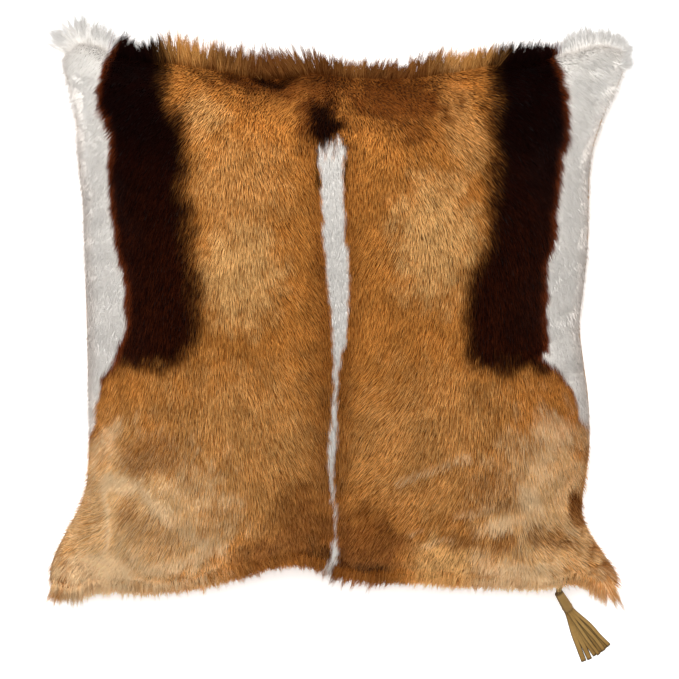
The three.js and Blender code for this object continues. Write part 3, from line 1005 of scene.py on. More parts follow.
    def grow(
        self, name: str, ground: bpy.types.Mesh, material: bpy.types.Material, sizes: HairSizes,
        seed: int, density: float = 0.0,
    ) -> bpy.types.Object:
        """Grows hair on a mesh.

        Args:
            name: The new piece's name.
            ground: The mesh that carries share, lay, upright, rise, grow, coat, tone and shade.
            material: The hair's material.
            sizes: The hair's sizes.
            seed: The seed for everything random.
            density: Hairs for each square metre, or 0 for one at each vertex.

        Returns:
            The piece, a plain mesh.
        """
        piece = object_of(name, ground)
        points = coords(ground)
        low, high = points.min(axis=0), points.max(axis=0)
        values = {
            "Scatter": density > 0, "Density": density, "Seed": seed, "Width": sizes.width,
            "Flatness": sizes.flatness, "Clump Size": sizes.clump, "Stray": sizes.stray,
            "Frizz": sizes.frizz, "Map Middle": tuple((low + high) / 2),
            "Map Size": float((high - low)[:2].max() + self.MAP_MARGIN), "Material": material,
        }
        modifier = piece.modifiers.new("hair", "NODES")
        modifier.node_group = self.tree
        for item in self.tree.interface.items_tree:
            if item.in_out == "INPUT" and item.name in values:
                modifier[item.identifier] = values[item.name]
        settled(piece)
        bpy.data.meshes.remove(ground)
        return piece


@dataclass
class FilledHide:
    """The hide and its filling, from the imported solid, swelled by cloth under pressure."""

    cloth: dict[str, float | bool] = field(default_factory=lambda: {
        "quality": 6, "mass": 0.25, "tension_stiffness": 14, "compression_stiffness": 14,
        "shear_stiffness": 6, "bending_stiffness": 0.6, "use_pressure": True,
        "uniform_pressure_force": 4.0, "shrink_min": -0.035,
    })
    frames: int = 20
    most_move: float = 0.006
    floor: float = 0.0019
    pile: float = 0.003
    pile_from_seam: float = 0.016
    clearance: float = 0.0018
    clearance_from_seam: float = 0.004
    body: bpy.types.Object | None = None
    seam: Array = field(default_factory=lambda: np.empty((0, 3)))

    def build(self, node: bpy.types.Object) -> bpy.types.Object:
        """Builds the filled hide.

        Args:
            node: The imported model's solid.

        Returns:
            The piece.
        """
        self.body = object_of("hide_body", self._quads(node.data))
        self._swell()
        self.body.modifiers.new("even", "SUBSURF").levels = 1
        settled(self.body)
        self.body.data.shade_smooth()
        self.seam = self._seam_line()
        return self.body

    @staticmethod
    def _quads(solid: bpy.types.Mesh) -> bpy.types.Mesh:
        """Merges the solid's loose triangles into a grid of quads, and divides it once."""
        made = bpy.data.meshes.new("hide grid")
        work = bmesh.new()
        work.from_mesh(solid)
        bmesh.ops.remove_doubles(work, verts=work.verts, dist=2e-5)
        bmesh.ops.join_triangles(
            work, faces=work.faces, angle_face_threshold=math.pi, angle_shape_threshold=math.pi
        )
        crease = work.edges.layers.float.new("crease_edge")
        for face in work.faces:
            face.material_index = int(face.normal.z < 0)
        for edge in work.edges:
            if len({face.material_index for face in edge.link_faces}) == 2:
                edge[crease] = 1.0
        work.to_mesh(made)
        work.free()
        quads = sum(len(face.vertices) == 4 for face in made.polygons)
        log.info("grid: %d quads, %d other faces", quads, len(made.polygons) - quads)
        for layer in list(made.uv_layers):
            made.uv_layers.remove(layer)
        grid = object_of("hide grid", made)
        grid.modifiers.new("divide", "SUBSURF").levels = 1
        settled(grid)
        made = grid.data
        bpy.data.objects.remove(grid)
        return made

    @staticmethod
    def _on_seam(mesh: bpy.types.Mesh) -> Array:
        """Which vertices lie on the seam, where the face and the underside meet."""
        sides = np.zeros((len(mesh.vertices), 2), bool)
        for face in mesh.polygons:
            sides[list(face.vertices), face.material_index] = True
        return sides.all(axis=1)

    def _swell(self) -> None:
        """Fills the cover: cloth under pressure with its seam held, and no point far from the solid."""
        mesh = self.body.data
        held = self.body.vertex_groups.new(name="seam")
        on_seam = self._on_seam(mesh)
        held.add([int(i) for i in np.flatnonzero(on_seam)], 1.0, "REPLACE")
        start = coords(mesh)
        cloth = self.body.modifiers.new("filling", "CLOTH")
        for name, value in self.cloth.items():
            setattr(cloth.settings, name, value)
        cloth.settings.vertex_group_mass = "seam"
        cloth.settings.effector_weights.gravity = 0.0
        cloth.collision_settings.use_collision = False
        scene = bpy.context.scene
        for frame in range(1, self.frames + 1):
            scene.frame_set(frame)
        graph = bpy.context.evaluated_depsgraph_get()
        swelled = self.body.evaluated_get(graph)
        moved = coords(swelled.data) - start
        self.body.modifiers.remove(cloth)
        scene.frame_set(1)
        far = np.linalg.norm(moved, axis=1, keepdims=True)
        log.info("cloth moved %.1f mm on average, %.1f mm at most", far.mean() / MM, far.max() / MM)
        moved *= self.most_move * np.tanh(far / self.most_move) / np.maximum(far, 1e-9)
        moved[on_seam] = 0.0
        ended = start + moved
        ended[:, 2] = np.maximum(ended[:, 2], self.floor)
        set_coords(mesh, ended)

    def _seam_line(self) -> Array:
        """The seam's places in order, anticlockwise from above."""
        mesh = self.body.data
        points = coords(mesh)[self._on_seam(mesh)]
        return points[np.argsort(np.arctan2(points[:, 1], points[:, 0]))]

    def corner(self, right: int, up: int) -> int:
        """Which seam place is a corner, by the signs of its x and y."""
        return int(np.argmax(self.seam[:, 0] * right + self.seam[:, 1] * up))

    def edge_line(self, first: int, last: int) -> Array:
        """The seam's places from one to another, anticlockwise."""
        rolled = np.roll(self.seam, -first, axis=0)
        return rolled[: (last - first) % len(self.seam) + 1]

    def from_seam(self, points: Array) -> Array:
        """How far each place is from the seam, in metres."""
        tree = KDTree(len(self.seam))
        for number, place in enumerate(self.seam):
            tree.insert(place, number)
        tree.balance()
        return np.array([tree.find(point)[2] for point in points])

    def face(self) -> bpy.types.Mesh:
        """A fine copy of the hide's face, for hair to grow on, before the body sinks under its pile."""
        work = bmesh.new()
        work.from_mesh(self.body.data)
        under = [face for face in work.faces if face.material_index == 1]
        bmesh.ops.delete(work, geom=under, context="FACES")
        bmesh.ops.subdivide_edges(work, edges=work.edges, cuts=1, use_grid_fill=True)
        made = bpy.data.meshes.new("hide face")
        work.to_mesh(made)
        work.free()
        made.shade_smooth()
        return made

    def height_at(self, points: Array) -> Array:
        """The height of the face over each place, or the place's own where it lies outside."""
        heights = points[:, 2].copy()
        for number, (x, y, _) in enumerate(points):
            met, place, _, _ = self.body.ray_cast((x, y, 1.0), (0.0, 0.0, -1.0))
            if met:
                heights[number] = place[2]
        return heights

    def sink(self) -> None:
        """Lowers the face by the depth of its pile, but not at the seam."""
        mesh = self.body.data
        points = coords(mesh)
        upper = np.zeros(len(points), bool)
        for face in mesh.polygons:
            if face.material_index == 0:
                upper[list(face.vertices)] = True
        away = self.from_seam(points)
        depth = self.pile * smooth(0.0, self.pile_from_seam, away)
        depth = depth + self.clearance * smooth(0.0, self.clearance_from_seam, away)
        depth = np.where(upper, depth, 0.0)
        set_coords(mesh, points - coords(mesh, "normal") * depth[:, None])


@dataclass
class FaceFur:
    """The short hair of the face, in panels from left to right."""

    edges: tuple[float, ...] = (-0.3, -0.104, 0.0, 0.104, 0.3)
    names: tuple[str, ...] = ("left_flank", "left_back", "right_back", "right_flank")
    hairs: int = 46000
    length: float = 0.0085
    rise: float = 12.0
    rise_at_seam: float = 9.0
    uneven_rise: float = 0.25
    flatter_at_foot: float = 0.7
    tufting: float = 0.10
    longer_at_foot: float = 0.5
    side_shade: float = 0.4
    thinnest: float = 0.8
    thicker_in_white: float = 0.6
    calmer_in_white: float = 0.4
    sizes: HairSizes = HairSizes()
    seed: int = 3

    def build(
        self, hide: FilledHide, markings: Markings, lie: Lie, tree: HairTree, material: bpy.types.Material
    ) -> list[bpy.types.Object]:
        """Grows the hair.

        Args:
            hide: The filled hide, before it sinks under its pile.
            markings: The coat.
            lie: The way the hair lies.
            tree: The tree that grows it.
            material: Its material.

        Returns:
            One piece for each panel.
        """
        face = hide.face()
        self._dress(face, hide, markings, lie)
        points = coords(face)
        white = markings.masks(points)["white"]
        made = []
        for number, name in enumerate(self.names):
            ground = face.copy()
            inside = (points[:, 0] >= self.edges[number]) & (points[:, 0] < self.edges[number + 1])
            share = inside * (self.thinnest + self.thicker_in_white * white)
            mark(ground, "share", share)
            whole = sum(part.area * share[list(part.vertices)].mean() for part in face.polygons)
            density = float(self.hairs / whole)
            fur = tree.grow(f"{name}_fur", ground, material, self.sizes, self.seed + number, density)
            log.info("%s: %d triangles", fur.name, sum(len(f.vertices) - 2 for f in fur.data.polygons))
            made.append(fur)
        bpy.data.meshes.remove(face)
        return made

    def _dress(self, face: bpy.types.Mesh, hide: FilledHide, markings: Markings, lie: Lie) -> None:
        """Stores on the face how its hair lies, how long it is and what colour."""
        points, normals = coords(face), coords(face, "normal")
        away = hide.from_seam(points)
        sunk = points - normals * (hide.pile * smooth(0.0, hide.pile_from_seam, away))[:, None]
        set_coords(face, sunk)
        lay = lie.directions(points, normals, markings)
        plan = points + lay * self.length * 0.5
        white = markings.masks(plan)["white"]
        x, y = points[:, 0], points[:, 1]
        tufts = 1.0 + self.tufting * (1.0 - white) * wander(points, 0.012, 9.1)
        tufts += self.longer_at_foot * smooth(0.012, 0.002, away) * smooth(-0.16, -0.2, y)
        uneven = self.uneven_rise * (1.0 - 0.9 * white) * wander(points, 0.007, 2.2)
        rise = np.radians(self.rise) * (1.0 + uneven)
        rise *= 1.0 + 0.1 * white
        rise *= 1.0 - self.flatter_at_foot * smooth(0.014, 0.004, away) * smooth(-0.16, -0.19, y)
        bare = smooth(0.0, 0.02, x) * smooth(0.055, 0.07, y) * smooth(0.15, 0.135, y)
        beside = smooth(0.15, 0.17, np.abs(x)) * smooth(-0.205, -0.19, y) * (1.0 - bare)
        rise += np.radians(self.rise_at_seam) * smooth(0.006, 0.0, away) * beside
        side = smooth(0.15, 0.18, np.abs(x))
        at_side = self.side_shade * smooth(0.012, 0.0, away) * side
        at_side += white * side * smooth(0.19, 0.13, y) * (0.1 + 0.35 * smooth(0.018, 0.004, away))
        mark(face, "lay", lay)
        mark(face, "loose", 1.0 - self.calmer_in_white * white)
        mark(face, "upright", normals)
        mark(face, "rise", rise)
        mark(face, "grow", self.length * tufts)
        store_coat(face, plan, markings, top_seam(hide), at_side)


def top_seam(hide: FilledHide) -> Array:
    """The seam's places along the top, from right to left."""
    return hide.edge_line(hide.corner(1, 1), hide.corner(-1, 1))


def store_coat(
    mesh: bpy.types.Mesh, plan: Array, markings: Markings, seam: Array, turned: Array | float = 0.0,
    spots: bool = True,
) -> None:
    """Stores the coat's marks on a mesh.

    Args:
        mesh: The mesh.
        plan: The place at which each vertex reads the coat.
        markings: The coat.
        seam: The top seam's places.
        turned: More shade, from 0 to 1, where the coat turns away from the light.
        spots: Whether the coat's dark spots, with the painted shade along the parting, are read too.
    """
    found = markings.masks(plan, spots)
    mark(mesh, "coat", np.column_stack([found["white"], found["dark"], found["rim"]]))
    mark(mesh, "tone", np.column_stack([found["cream"], found["brown"], found["pale"]]))
    mark(mesh, "shade", np.clip(markings.shade(plan, seam) + turned, 0, 1))


@dataclass(frozen=True)
class LockRow:
    """One row of locks along a rim: hairs in a lock, its share of the table's length, and metres."""

    pitch: float
    hairs: int
    share: tuple[float, float]
    wide: float
    gather: float


@dataclass
class RimFur:
    """Longer hair that stands past a seam, in locks that come to a point, in metres and degrees."""

    name: str
    table: tuple[tuple[float, float, float], ...]
    rows: tuple[LockRow, ...]
    rise: float
    seed: int
    out: float
    depth: float
    lift: float = -0.001
    crowd: float = 1.0
    fuller_beyond: float = 0.18
    inset: float = 0.004
    turn_spread: float = 13.0
    rise_spread: float = 8.0
    mark_spread: float = 0.0012
    shortest: float = 0.72
    usual_length: float = 0.95
    uneven_pitch: float = 0.35
    twin_spread: float = 0.001
    sizes: HairSizes = HairSizes(width=0.0006, flatness=0.6, clump=0.004, stray=0.12, frizz=0.04)

    def build(
        self, line: Array, hide: FilledHide, markings: Markings, tree: HairTree, material: bpy.types.Material
    ) -> bpy.types.Object:
        """Grows the locks.

        Args:
            line: The seam's places that the fur stands on, in order.
            hide: The filled hide that the fur grows on.
            markings: The coat.
            tree: The tree that grows the hair.
            material: Its material.

        Returns:
            The piece.
        """
        rng = np.random.default_rng(self.seed)
        run = np.concatenate([[0.0], np.cumsum(np.linalg.norm(np.diff(line, axis=0), axis=1))])
        found = []
        for row in self.rows:
            count = int(run[-1] / row.pitch)
            chance = rng.uniform(-self.uneven_pitch, self.uneven_pitch, count)
            places = (np.arange(count) + 0.5 + chance) / count * run[-1]
            corners = np.abs(np.interp(places, run, line[:, 0])) > self.fuller_beyond
            beside = rng.uniform(-self.twin_spread, self.twin_spread, corners.sum())
            places = np.concatenate([places, places[corners] + beside])
            found += [self._lock(hide, line, run, place, row, rng) for place in places]
        roots, aims, grows, plans = (np.concatenate(parts) for parts in zip(*found))
        mesh = mesh_of(f"{self.name} roots", roots, [])
        for name in ("share", "loose"):
            mark(mesh, name, np.ones(len(roots)))
        mark(mesh, "lay", aims)
        mark(mesh, "upright", np.tile([0.0, 0.0, 1.0], (len(roots), 1)))
        mark(mesh, "rise", np.zeros(len(roots)))
        mark(mesh, "grow", grows)
        store_coat(mesh, plans, markings, top_seam(hide), spots=False)
        return tree.grow(self.name, mesh, material, self.sizes, self.seed)

    def _lock(
        self, hide: FilledHide, line: Array, run: Array, place: float, row: LockRow, rng: np.random.Generator
    ) -> tuple[Array, Array, Array, Array]:
        """Plans one lock.

        Args:
            hide: The filled hide.
            line: The seam's places.
            run: How far along the seam each of them is.
            place: How far along the lock stands.
            row: The row that it is in.
            rng: The source of chance.

        Returns:
            Each hair's root, aim, length and the place at which it reads the coat.
        """
        at = self._along(line, run, place)
        ahead = self._along(line, run, place + 0.001) - self._along(line, run, place - 0.001)
        out = unit(np.array([[ahead[1], -ahead[0], 0.0]]))[0]
        length, lean = self._read(at[0])
        turn = math.radians(-lean * (1 if out[1] >= 0 else -1) + rng.normal(0, self.turn_spread))
        level = np.array([
            out[0] * math.cos(turn) - out[1] * math.sin(turn),
            out[0] * math.sin(turn) + out[1] * math.cos(turn),
            math.tan(math.radians(self.rise + rng.normal(0, self.rise_spread))),
        ])
        tip = at + out * self.out + unit(level[None])[0] * length * rng.uniform(*row.share)
        base = at + rng.normal(0, row.wide / 2, (row.hairs, 1)) * unit(ahead[None])
        base = base - out * self.depth * rng.uniform(0, 1, (row.hairs, 1)) ** self.crowd
        base[:, 2] = hide.height_at(base) + self.lift * rng.uniform(0, 1, row.hairs)
        aim = tip + rng.normal(0, row.gather, (row.hairs, 3)) - base
        far = np.linalg.norm(aim, axis=1)
        plans = base - out * self.inset
        plans[:, 0] += rng.normal(0, self.mark_spread, row.hairs)
        grows = far * rng.uniform(self.shortest, 1.0, row.hairs) / self.usual_length
        return base, aim / far[:, None], grows, plans

    @staticmethod
    def _along(line: Array, run: Array, place: float) -> Array:
        """The point a distance along a line."""
        return np.array([np.interp(place, run, line[:, axis]) for axis in range(3)])

    def _read(self, x: float) -> tuple[float, float]:
        """The table's length and lean at x, in metres and degrees."""
        columns = np.array(self.table)
        length = np.interp(x / MM, columns[:, 0], columns[:, 1]) * MM
        return float(length), float(np.interp(x / MM, columns[:, 0], columns[:, 2]))


# The locks along each rim: x and length in millimetres, and lean in degrees.
TOP_LOCKS = (
    (-222, 16, -36), (-214, 25, -22), (-206, 27, -16), (-198, 23, -8), (-191, 20, -2), (-186, 17, 4),
    (-177, 12, 8), (-170, 22, -2), (-160, 13, -12), (-155, 9, -20), (-148, 20, -26), (-133, 28, -18),
    (-121, 30, -10), (-104, 25, -8), (-91, 26, -8), (-81, 27, -10), (-70, 24, -12), (-62, 23, -14),
    (-49, 31, -22), (-32, 27, -28), (-17, 26, -26), (-3, 15.5, -16), (13, 14, 4), (33, 18, 24),
    (43, 15, 26), (53, 18, 32), (70, 26, 34), (80, 27, 34), (92, 17, 36), (105, 21, 36), (116, 23, 36),
    (130, 24, 38), (138, 20, 38), (144, 21, 40), (165, 13, 36), (175, 9, 20), (182, 14, 8), (191, 18, 2),
    (201, 15, 4), (210, 13, 14), (219, 10, 24), (224, 9, 30),
)
FOOT_LOCKS = (
    (-223, 12, -30), (-213, 14, -16), (-203, 13, -12), (-191, 8, -10), (-170, 9, -8), (-157, 8, -8),
    (-102, 8, 4), (-60, 8, 18), (-38, 6, 26), (-20, 9, 32), (-3, 15, 6), (18, 12, -26), (30, 11, -26),
    (50, 8.5, -24), (136, 7, -12), (164, 6.5, 0), (176, 4.5, 0), (181, 1.5, 0), (188, 2, 8), (196, 6, 12),
    (205, 17, 12), (215, 24, 10), (222, 18, 16),
)


@dataclass
class SuedeBack:
    """The suede back panel, a sheet that follows the filled hide's underside."""

    thickness: float = 0.0016
    gap: float = 0.0003
    worn_edge: float = 0.7

    def build(self, hide: FilledHide, material: bpy.types.Material) -> bpy.types.Object:
        """Builds the sheet.

        Args:
            hide: The filled hide.
            material: The sheet's material.

        Returns:
            The piece.
        """
        mesh = hide.body.data
        work = bmesh.new()
        work.from_mesh(mesh)
        upper = [face for face in work.faces if face.material_index == 0]
        bmesh.ops.delete(work, geom=upper, context="FACES")
        work.normal_update()
        work.verts.index_update()
        points = np.array([vert.co[:] for vert in work.verts])
        normals = np.array([vert.normal[:] for vert in work.verts])
        flat = points[:, 2] <= hide.floor + 1e-5
        normals[flat] = (0.0, 0.0, -1.0)
        faces = [[vert.index for vert in face.verts] for face in work.faces]
        rim = [(edge.verts[0].index, edge.verts[1].index, edge.link_loops[0].vert.index)
               for edge in work.edges if edge.is_boundary]
        work.free()
        inner = points + normals * self.gap
        outer = points + normals * (self.gap + self.thickness)
        outer[:, 2] = np.maximum(outer[:, 2], 0.0)
        inner[:, 2] = np.maximum(inner[:, 2], self.thickness)
        count = len(points)
        whole = [[count + i for i in face] for face in faces] + [face[::-1] for face in faces]
        for a, b, first in rim:
            a, b = (a, b) if first == a else (b, a)
            whole.append([b, count + b, count + a, a][::-1])
        made = mesh_of("suede back", np.concatenate([inner, outer]), whole)
        made.materials.append(material)
        edge = np.zeros(2 * count)
        edge[[i for row in rim for i in row[:2]]] = self.worn_edge
        mark(made, "cut_edge", edge)
        return object_of("suede_back_panel", made)


def tube_faces(count: int, rings: int) -> list[list[int]]:
    """The faces between rings of points.

    Args:
        count: Points in a ring.
        rings: How many rings there are.

    Returns:
        Rows of four point numbers.
    """
    faces = []
    for low in range(0, (rings - 1) * count, count):
        for i in range(count):
            j = (i + 1) % count
            faces.append([low + i, low + j, low + count + j, low + count + i])
    return faces


@dataclass
class Strap:
    """A strap of suede along a curve, with rounded edges and cut ends."""

    width: float
    thickness: float
    steps: int = 26

    def solid(self, line: Array, side_way: Array | None = None) -> tuple[Array, list[list[int]], Array]:
        """Builds the strap.

        Args:
            line: Points that the strap goes through, in metres.
            side_way: A vector across the strap, or none for level.

        Returns:
            Its points, its faces and how much each point lies on a cut edge.
        """
        path = spline(line, self.steps)
        ahead = unit(np.gradient(path, axis=0))
        side = np.cross(ahead, (0.0, 0.0, 1.0)) if side_way is None else np.tile(side_way, (len(path), 1))
        side = unit(side)
        top = unit(np.cross(side, ahead))
        w, t = self.width / 2, self.thickness / 2
        shape = [
            (-w, 0, 1.0), (-w * 0.84, -t * 0.9, 1.0), (-w * 0.66, -t, 0), (0, -t, 0), (w * 0.66, -t, 0),
            (w * 0.84, -t * 0.9, 1.0), (w, 0, 1.0), (w * 0.84, t * 0.9, 1.0), (w * 0.66, t, 0), (0, t, 0),
            (-w * 0.66, t, 0), (-w * 0.84, t * 0.9, 1.0),
        ]
        rings, edges = [], []
        for centre, across, up in zip(path, side, top):
            for a, b, cut in shape:
                rings.append(centre + across * a + up * b)
                edges.append(cut)
        count, last = len(shape), (len(path) - 1) * len(shape)
        faces = [face[::-1] for face in tube_faces(count, len(path))]
        faces.append(list(range(count)))
        faces.append([last + i for i in range(count)][::-1])
        marks = np.array(edges)
        marks[:count] = marks[last:] = 1.0
        return np.array(rings), faces, marks


def spline(points: Array, steps: int) -> Array:
    """A smooth line through points.

    Args:
        points: Rows of three numbers.
        steps: How many stretches the line has.

    Returns:
        Evenly spaced points on it.
    """
    points = np.asarray(points, float)
    padded = np.vstack([2 * points[0] - points[1], points, 2 * points[-1] - points[-2]])
    fine = []
    for a, b, c, d in zip(padded, padded[1:], padded[2:], padded[3:]):
        square, cube = 2 * a - 5 * b + 4 * c - d, 3 * b - a - 3 * c + d
        for t in np.linspace(0, 1, 24, endpoint=False):
            fine.append(0.5 * (2 * b + (c - a) * t + square * t * t + cube * t**3))
    fine = np.array([*fine, points[-1]])
    run = np.concatenate([[0.0], np.cumsum(np.linalg.norm(np.diff(fine, axis=0), axis=1))])
    even = np.linspace(0, run[-1], steps + 1)
    return np.column_stack([np.interp(even, run, fine[:, axis]) for axis in range(3)])


class Assembly:
    """Gathers closed parts into one mesh."""

    def __init__(self) -> None:
        """Starts with nothing."""
        self.points: list[Array] = []
        self.faces: list[list[int]] = []
        self.marks: list[Array] = []

    def add(self, points: Array, faces: list[list[int]], marks: Array) -> None:
        """Adds one closed part.

        Args:
            points: Its points.
            faces: Its faces.
            marks: How much each point lies on a cut edge.
        """
        start = sum(len(rows) for rows in self.points)
        self.points.append(points)
        self.faces += [[start + i for i in face] for face in faces]
        self.marks.append(marks)

    def piece(self, name: str, material: bpy.types.Material) -> bpy.types.Object:
        """Makes the piece.

        Args:
            name: Its name.
            material: Its material.

        Returns:
            The object.
        """
        mesh = mesh_of(name, np.concatenate(self.points), self.faces)
        work = bmesh.new()
        work.from_mesh(mesh)
        bmesh.ops.recalc_face_normals(work, faces=work.faces)
        work.to_mesh(mesh)
        work.free()
        mark(mesh, "cut_edge", np.concatenate(self.marks))
        mesh.materials.append(material)
        return object_of(name, mesh)


@dataclass
class Tassel:
    """The zip-pull tassel: a rolled head and eight cut strips, in millimetres."""

    head_top: tuple[float, float, float] = (173.5, -214.5, 22.0)
    head_foot: tuple[float, float, float] = (181.7, -228.0, 7.6)
    head_size: tuple[float, float] = (7.3, 5.0)
    foot_size: tuple[float, float] = (8.6, 5.6)
    strips: tuple[tuple[float, float, int, float, float], ...] = (
        (194.2, -269.4, 0, -2.2, 4.2), (198.9, -267.8, 0, -1.7, 4.0), (203.2, -264.8, 0, -1.0, 3.6),
        (207.8, -262.2, 0, 0.6, 3.2), (211.8, -258.8, 0, 2.2, 3.2), (206.0, -264.0, 1, -0.9, 2.9),
        (210.1, -260.6, 1, 1.0, 3.3), (214.2, -256.8, 1, 2.9, 3.1),
    )
    thick: float = 1.4
    over_floor: float = 0.1
    layer_height: float = 1.9
    mouth_reach: float = 3.0
    root_step: float = 1.6
    mouth_step: float = 0.9
    landing_share: float = 0.42
    wave: float = 0.45
    belly: float = 0.06
    lap: float = 0.10
    roll_start: float = 0.7
    cut_mark: float = 0.9
    thong_size: tuple[float, float] = (4.4, 1.3)
    thong_root: tuple[float, float, float] = (174.6, -207.9, 28.4)

    def build(self, material: bpy.types.Material) -> bpy.types.Object:
        """Builds the head and its strips.

        Args:
            material: The suede.

        Returns:
            The piece.
        """
        parts = Assembly()
        top, foot = np.array(self.head_top) * MM, np.array(self.head_foot) * MM
        ahead = unit((foot - top)[None])[0]
        side = unit(np.cross(ahead, (0, 0, 1.0))[None])[0]
        up = np.cross(side, ahead)
        self._head(parts, top, foot, side, up)
        level = unit(np.array([[ahead[0], ahead[1], 0.0]]))[0]
        across = np.cross((0.0, 0.0, 1.0), level)
        for number, (x, y, layer, bow, wide) in enumerate(self.strips):
            rest = (self.thick / 2 + self.over_floor + layer * self.layer_height) * MM
            end = np.array([x * MM, y * MM, rest])
            root = foot + across * bow * MM - level * self.mouth_reach * MM
            root[2] += self.root_step * MM * layer
            mouth = foot + across * bow * MM + level * self.mouth_reach * MM
            mouth[2] = (rest + foot[2]) / 2 + self.mouth_step * MM * layer
            landing = mouth + (end - mouth) * self.landing_share + across * bow * MM / 3
            landing[2] = rest
            wave = across * self.wave * MM * math.sin(number * 2.4)
            middle = landing + (end - landing) * 0.5 + wave
            line = spline(np.array([root, mouth, landing, middle, end]), 26)
            line[:, 2] = np.maximum(line[:, 2], rest)
            parts.add(*Strap(wide * MM, self.thick * MM).solid(line))
        return parts.piece("suede_tassel", material)

    def _head(self, parts: Assembly, top: Array, foot: Array, side: Array, up: Array) -> None:
        """Adds the head, a band rolled one and a half times so that its end shows as a step."""
        rings, marks, sides, steps = [], [], 28, 10
        first, last = np.array(self.head_size), np.array(self.foot_size)
        for step in range(steps + 1):
            share = step / steps
            centre = top + (foot - top) * share
            belly = 1.0 + self.belly * math.sin(math.pi * share)
            wide, high = (first + (last - first) * share) / 2 * belly * MM
            for i in range(sides):
                turn = 2 * math.pi * i / sides + self.roll_start
                lap = 1.0 - self.lap * (i / sides)
                rings.append(centre + side * math.cos(turn) * wide * lap + up * math.sin(turn) * high * lap)
                marks.append(self.cut_mark if i in (0, sides - 1) or step == 0 else 0.0)
        faces = tube_faces(sides, steps + 1)
        faces += [list(range(sides)), [steps * sides + i for i in range(sides)]]
        parts.add(np.array(rings), faces, np.array(marks))

    def thong(self, material: bpy.types.Material) -> bpy.types.Object:
        """Builds the thong that ties the tassel on.

        Args:
            material: The suede.

        Returns:
            The piece.
        """
        parts = Assembly()
        start, end = np.array(self.thong_root) * MM, np.array(self.head_top) * MM
        end = end + (start - end) * 0.06
        middle = (start + end) / 2 - (0, 0, 0.4 * MM)
        wide, thick = self.thong_size
        strap = Strap(wide * MM, thick * MM, 12)
        parts.add(*strap.solid(np.array([start, middle, end]), np.array([1.0, 0.0, 0.0])))
        return parts.piece("suede_thong", material)


@dataclass
class Studio:
    """The pale floor, the soft lights and the camera straight over the cushion."""

    middle: tuple[float, float] = (0.0012, -0.0153)
    view_width: float = 0.533
    seam_height: float = 0.036
    distance: float = 6.0
    sensor: float = 36.0
    floor_half: float = 30.0
    floor_glow: float = 0.35
    room_light: float = 0.85
    lamps: tuple[tuple[str, tuple[float, float, float], float, float], ...] = (
        ("overhead", (-0.3, 0.7, 2.4), 1.6, 44.0),
        ("left", (-2.0, 0.2, 1.5), 1.4, 9.0),
        ("right", (2.0, 0.4, 1.5), 1.4, 9.0),
    )

    def build(self) -> None:
        """Builds the studio."""
        self._floor()
        self._lights()
        self._camera()

    def _floor(self) -> None:
        """Lays the floor."""
        half = self.floor_half
        points = half * np.array([(-1.0, -1.0, 0.0), (1.0, -1.0, 0.0), (1.0, 1.0, 0.0), (-1.0, 1.0, 0.0)])
        mesh = mesh_of("floor", points, [(0, 1, 2, 3)])
        made, draw, skin = material_of("pale floor")
        slow = draw.noise(draw.place(), 3.0).outputs[0]
        draw.feed(skin.inputs["Base Color"], draw.mix(slow, (0.93, 0.93, 0.93), (0.95, 0.95, 0.95)))
        skin.inputs["Roughness"].default_value = 0.9
        skin.inputs["Specular IOR Level"].default_value = 0.1
        skin.inputs["Emission Color"].default_value = (1.0, 1.0, 1.0, 1.0)
        skin.inputs["Emission Strength"].default_value = self.floor_glow
        mesh.materials.append(made)
        object_of("floor", mesh)

    def _lights(self) -> None:
        """Hangs one broad light overhead and one to each side, and lights the room evenly."""
        world = bpy.data.worlds.new("room")
        world.use_nodes = True
        sky = world.node_tree.nodes["Background"]
        sky.inputs["Color"].default_value = (1.0, 1.0, 1.0, 1.0)
        sky.inputs["Strength"].default_value = self.room_light
        bpy.context.scene.world = world
        for name, place, size, power in self.lamps:
            light = bpy.data.lights.new(name, "AREA")
            light.size = size
            light.energy = power
            lamp = bpy.data.objects.new(name, light)
            lamp.location = place
            lamp.rotation_euler = (-Vector(place)).to_track_quat("-Z", "Y").to_euler()
            lamp.visible_camera = False
            bpy.context.scene.collection.objects.link(lamp)

    def _camera(self) -> None:
        """Sets the camera straight over the face, with the view's width at the seam's height."""
        data = bpy.data.cameras.new("camera")
        data.sensor_width = self.sensor
        data.lens = self.sensor * self.distance / self.view_width
        data.clip_end = 100.0
        camera = bpy.data.objects.new("camera", data)
        camera.location = (*self.middle, self.seam_height + self.distance)
        bpy.context.scene.collection.objects.link(camera)
        bpy.context.scene.camera = camera
        bpy.context.scene.view_settings.view_transform = "Standard"


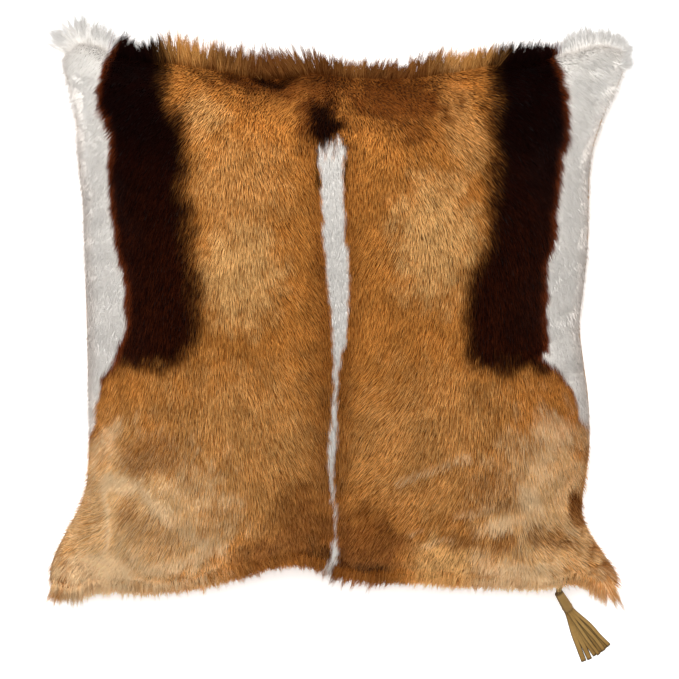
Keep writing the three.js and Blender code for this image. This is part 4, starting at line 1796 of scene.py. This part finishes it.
def main() -> None:
    """Builds the cushion, piece by piece."""
    logging.basicConfig(level=logging.INFO, format="%(message)s")
    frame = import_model()
    coat, nap, tree = CoatGroup(), NapGroup(), HairTree()
    hair = HairFinish().material(coat)
    # The rim hair has deeper painted shade at its roots and a paler painted highlight at its tips; the foot
    # hair has little painted shade at its roots.
    rim_hair = HairFinish("rim hair", root=(0.25, 0.20, 0.16), tip=(1.12, 1.38, 1.9)).material(coat)
    foot_hair = HairFinish("foot hair", root=(0.78, 0.70, 0.62), tip=(1.15, 1.2, 1.25)).material(coat)
    skin = SkinFinish().material(coat)
    back = SuedeFinish("suede of the back", (0.36, 0.20, 0.085), worn=(0.46, 0.28, 0.14), brushed=0.6)
    golden = SuedeFinish(
        "suede of the tassel", (0.22, 0.125, 0.035), worn=(0.31, 0.19, 0.062), brushed=0.7, sheen=0.04
    )
    back, golden = back.material(nap), golden.material(nap)
    markings, lie = Markings(), Lie()

    hide = FilledHide()
    body = hide.build(frame["nodes"]["filled_hide"])
    suede = SuedeBack().build(hide, back)
    furs = FaceFur().build(hide, markings, lie, tree, hair)
    hide.sink()
    store_coat(body.data, coords(body.data), markings, top_seam(hide))
    body.data.materials.clear()
    body.data.materials.append(skin)
    body.data.polygons.foreach_set("material_index", np.zeros(len(body.data.polygons), np.int32))
    log.info("hide_body: %d faces", len(body.data.polygons))

    right, left = hide.corner(1, 1), hide.corner(-1, 1)
    top_line = hide.edge_line(right - 9, left)
    foot_line = hide.edge_line(hide.corner(-1, -1), hide.corner(1, -1))
    under = LockRow(pitch=0.0015, hairs=18, share=(0.4, 0.75), wide=0.003, gather=0.0015)
    top_rows = (
        LockRow(pitch=0.0025, hairs=32, share=(0.6, 1.0), wide=0.0034, gather=0.0011),
        LockRow(pitch=0.0032, hairs=32, share=(0.7, 1.06), wide=0.0042, gather=0.0014),
        under,
    )
    foot_rows = (LockRow(pitch=0.0026, hairs=22, share=(0.5, 1.08), wide=0.0034, gather=0.0009), under)
    top = RimFur(
        "top_rim_fur", TOP_LOCKS, top_rows, rise=10.0, seed=21, out=0.0024, depth=0.007, crowd=1.6
    )
    top = top.build(top_line, hide, markings, tree, rim_hair)
    foot = RimFur(
        "foot_rim_fur", FOOT_LOCKS, foot_rows, rise=-6.0, seed=22, out=0.0008, depth=0.012, lift=0.0014,
        crowd=1.8,
    )
    foot = foot.build(foot_line, hide, markings, tree, foot_hair)
    log.info("rim fur: %d and %d faces", len(top.data.polygons), len(foot.data.polygons))

    tassel = Tassel()
    head = tassel.build(golden)
    thong = tassel.thong(golden)

    for piece, name, node in (
        (body, "hide", "filled_hide"), (suede, "suede", "suede_back"), (top, "hide", "top_fur"),
        (foot, "hide", "foot_fur"), (head, "tassel_suede", "tassel"), (thong, "tassel_suede", "thong"),
    ):
        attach(piece, BODY)
        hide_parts(node)
    for piece in furs:
        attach(piece, BODY)

    Studio().build()


if __name__ == "__main__":
    main()
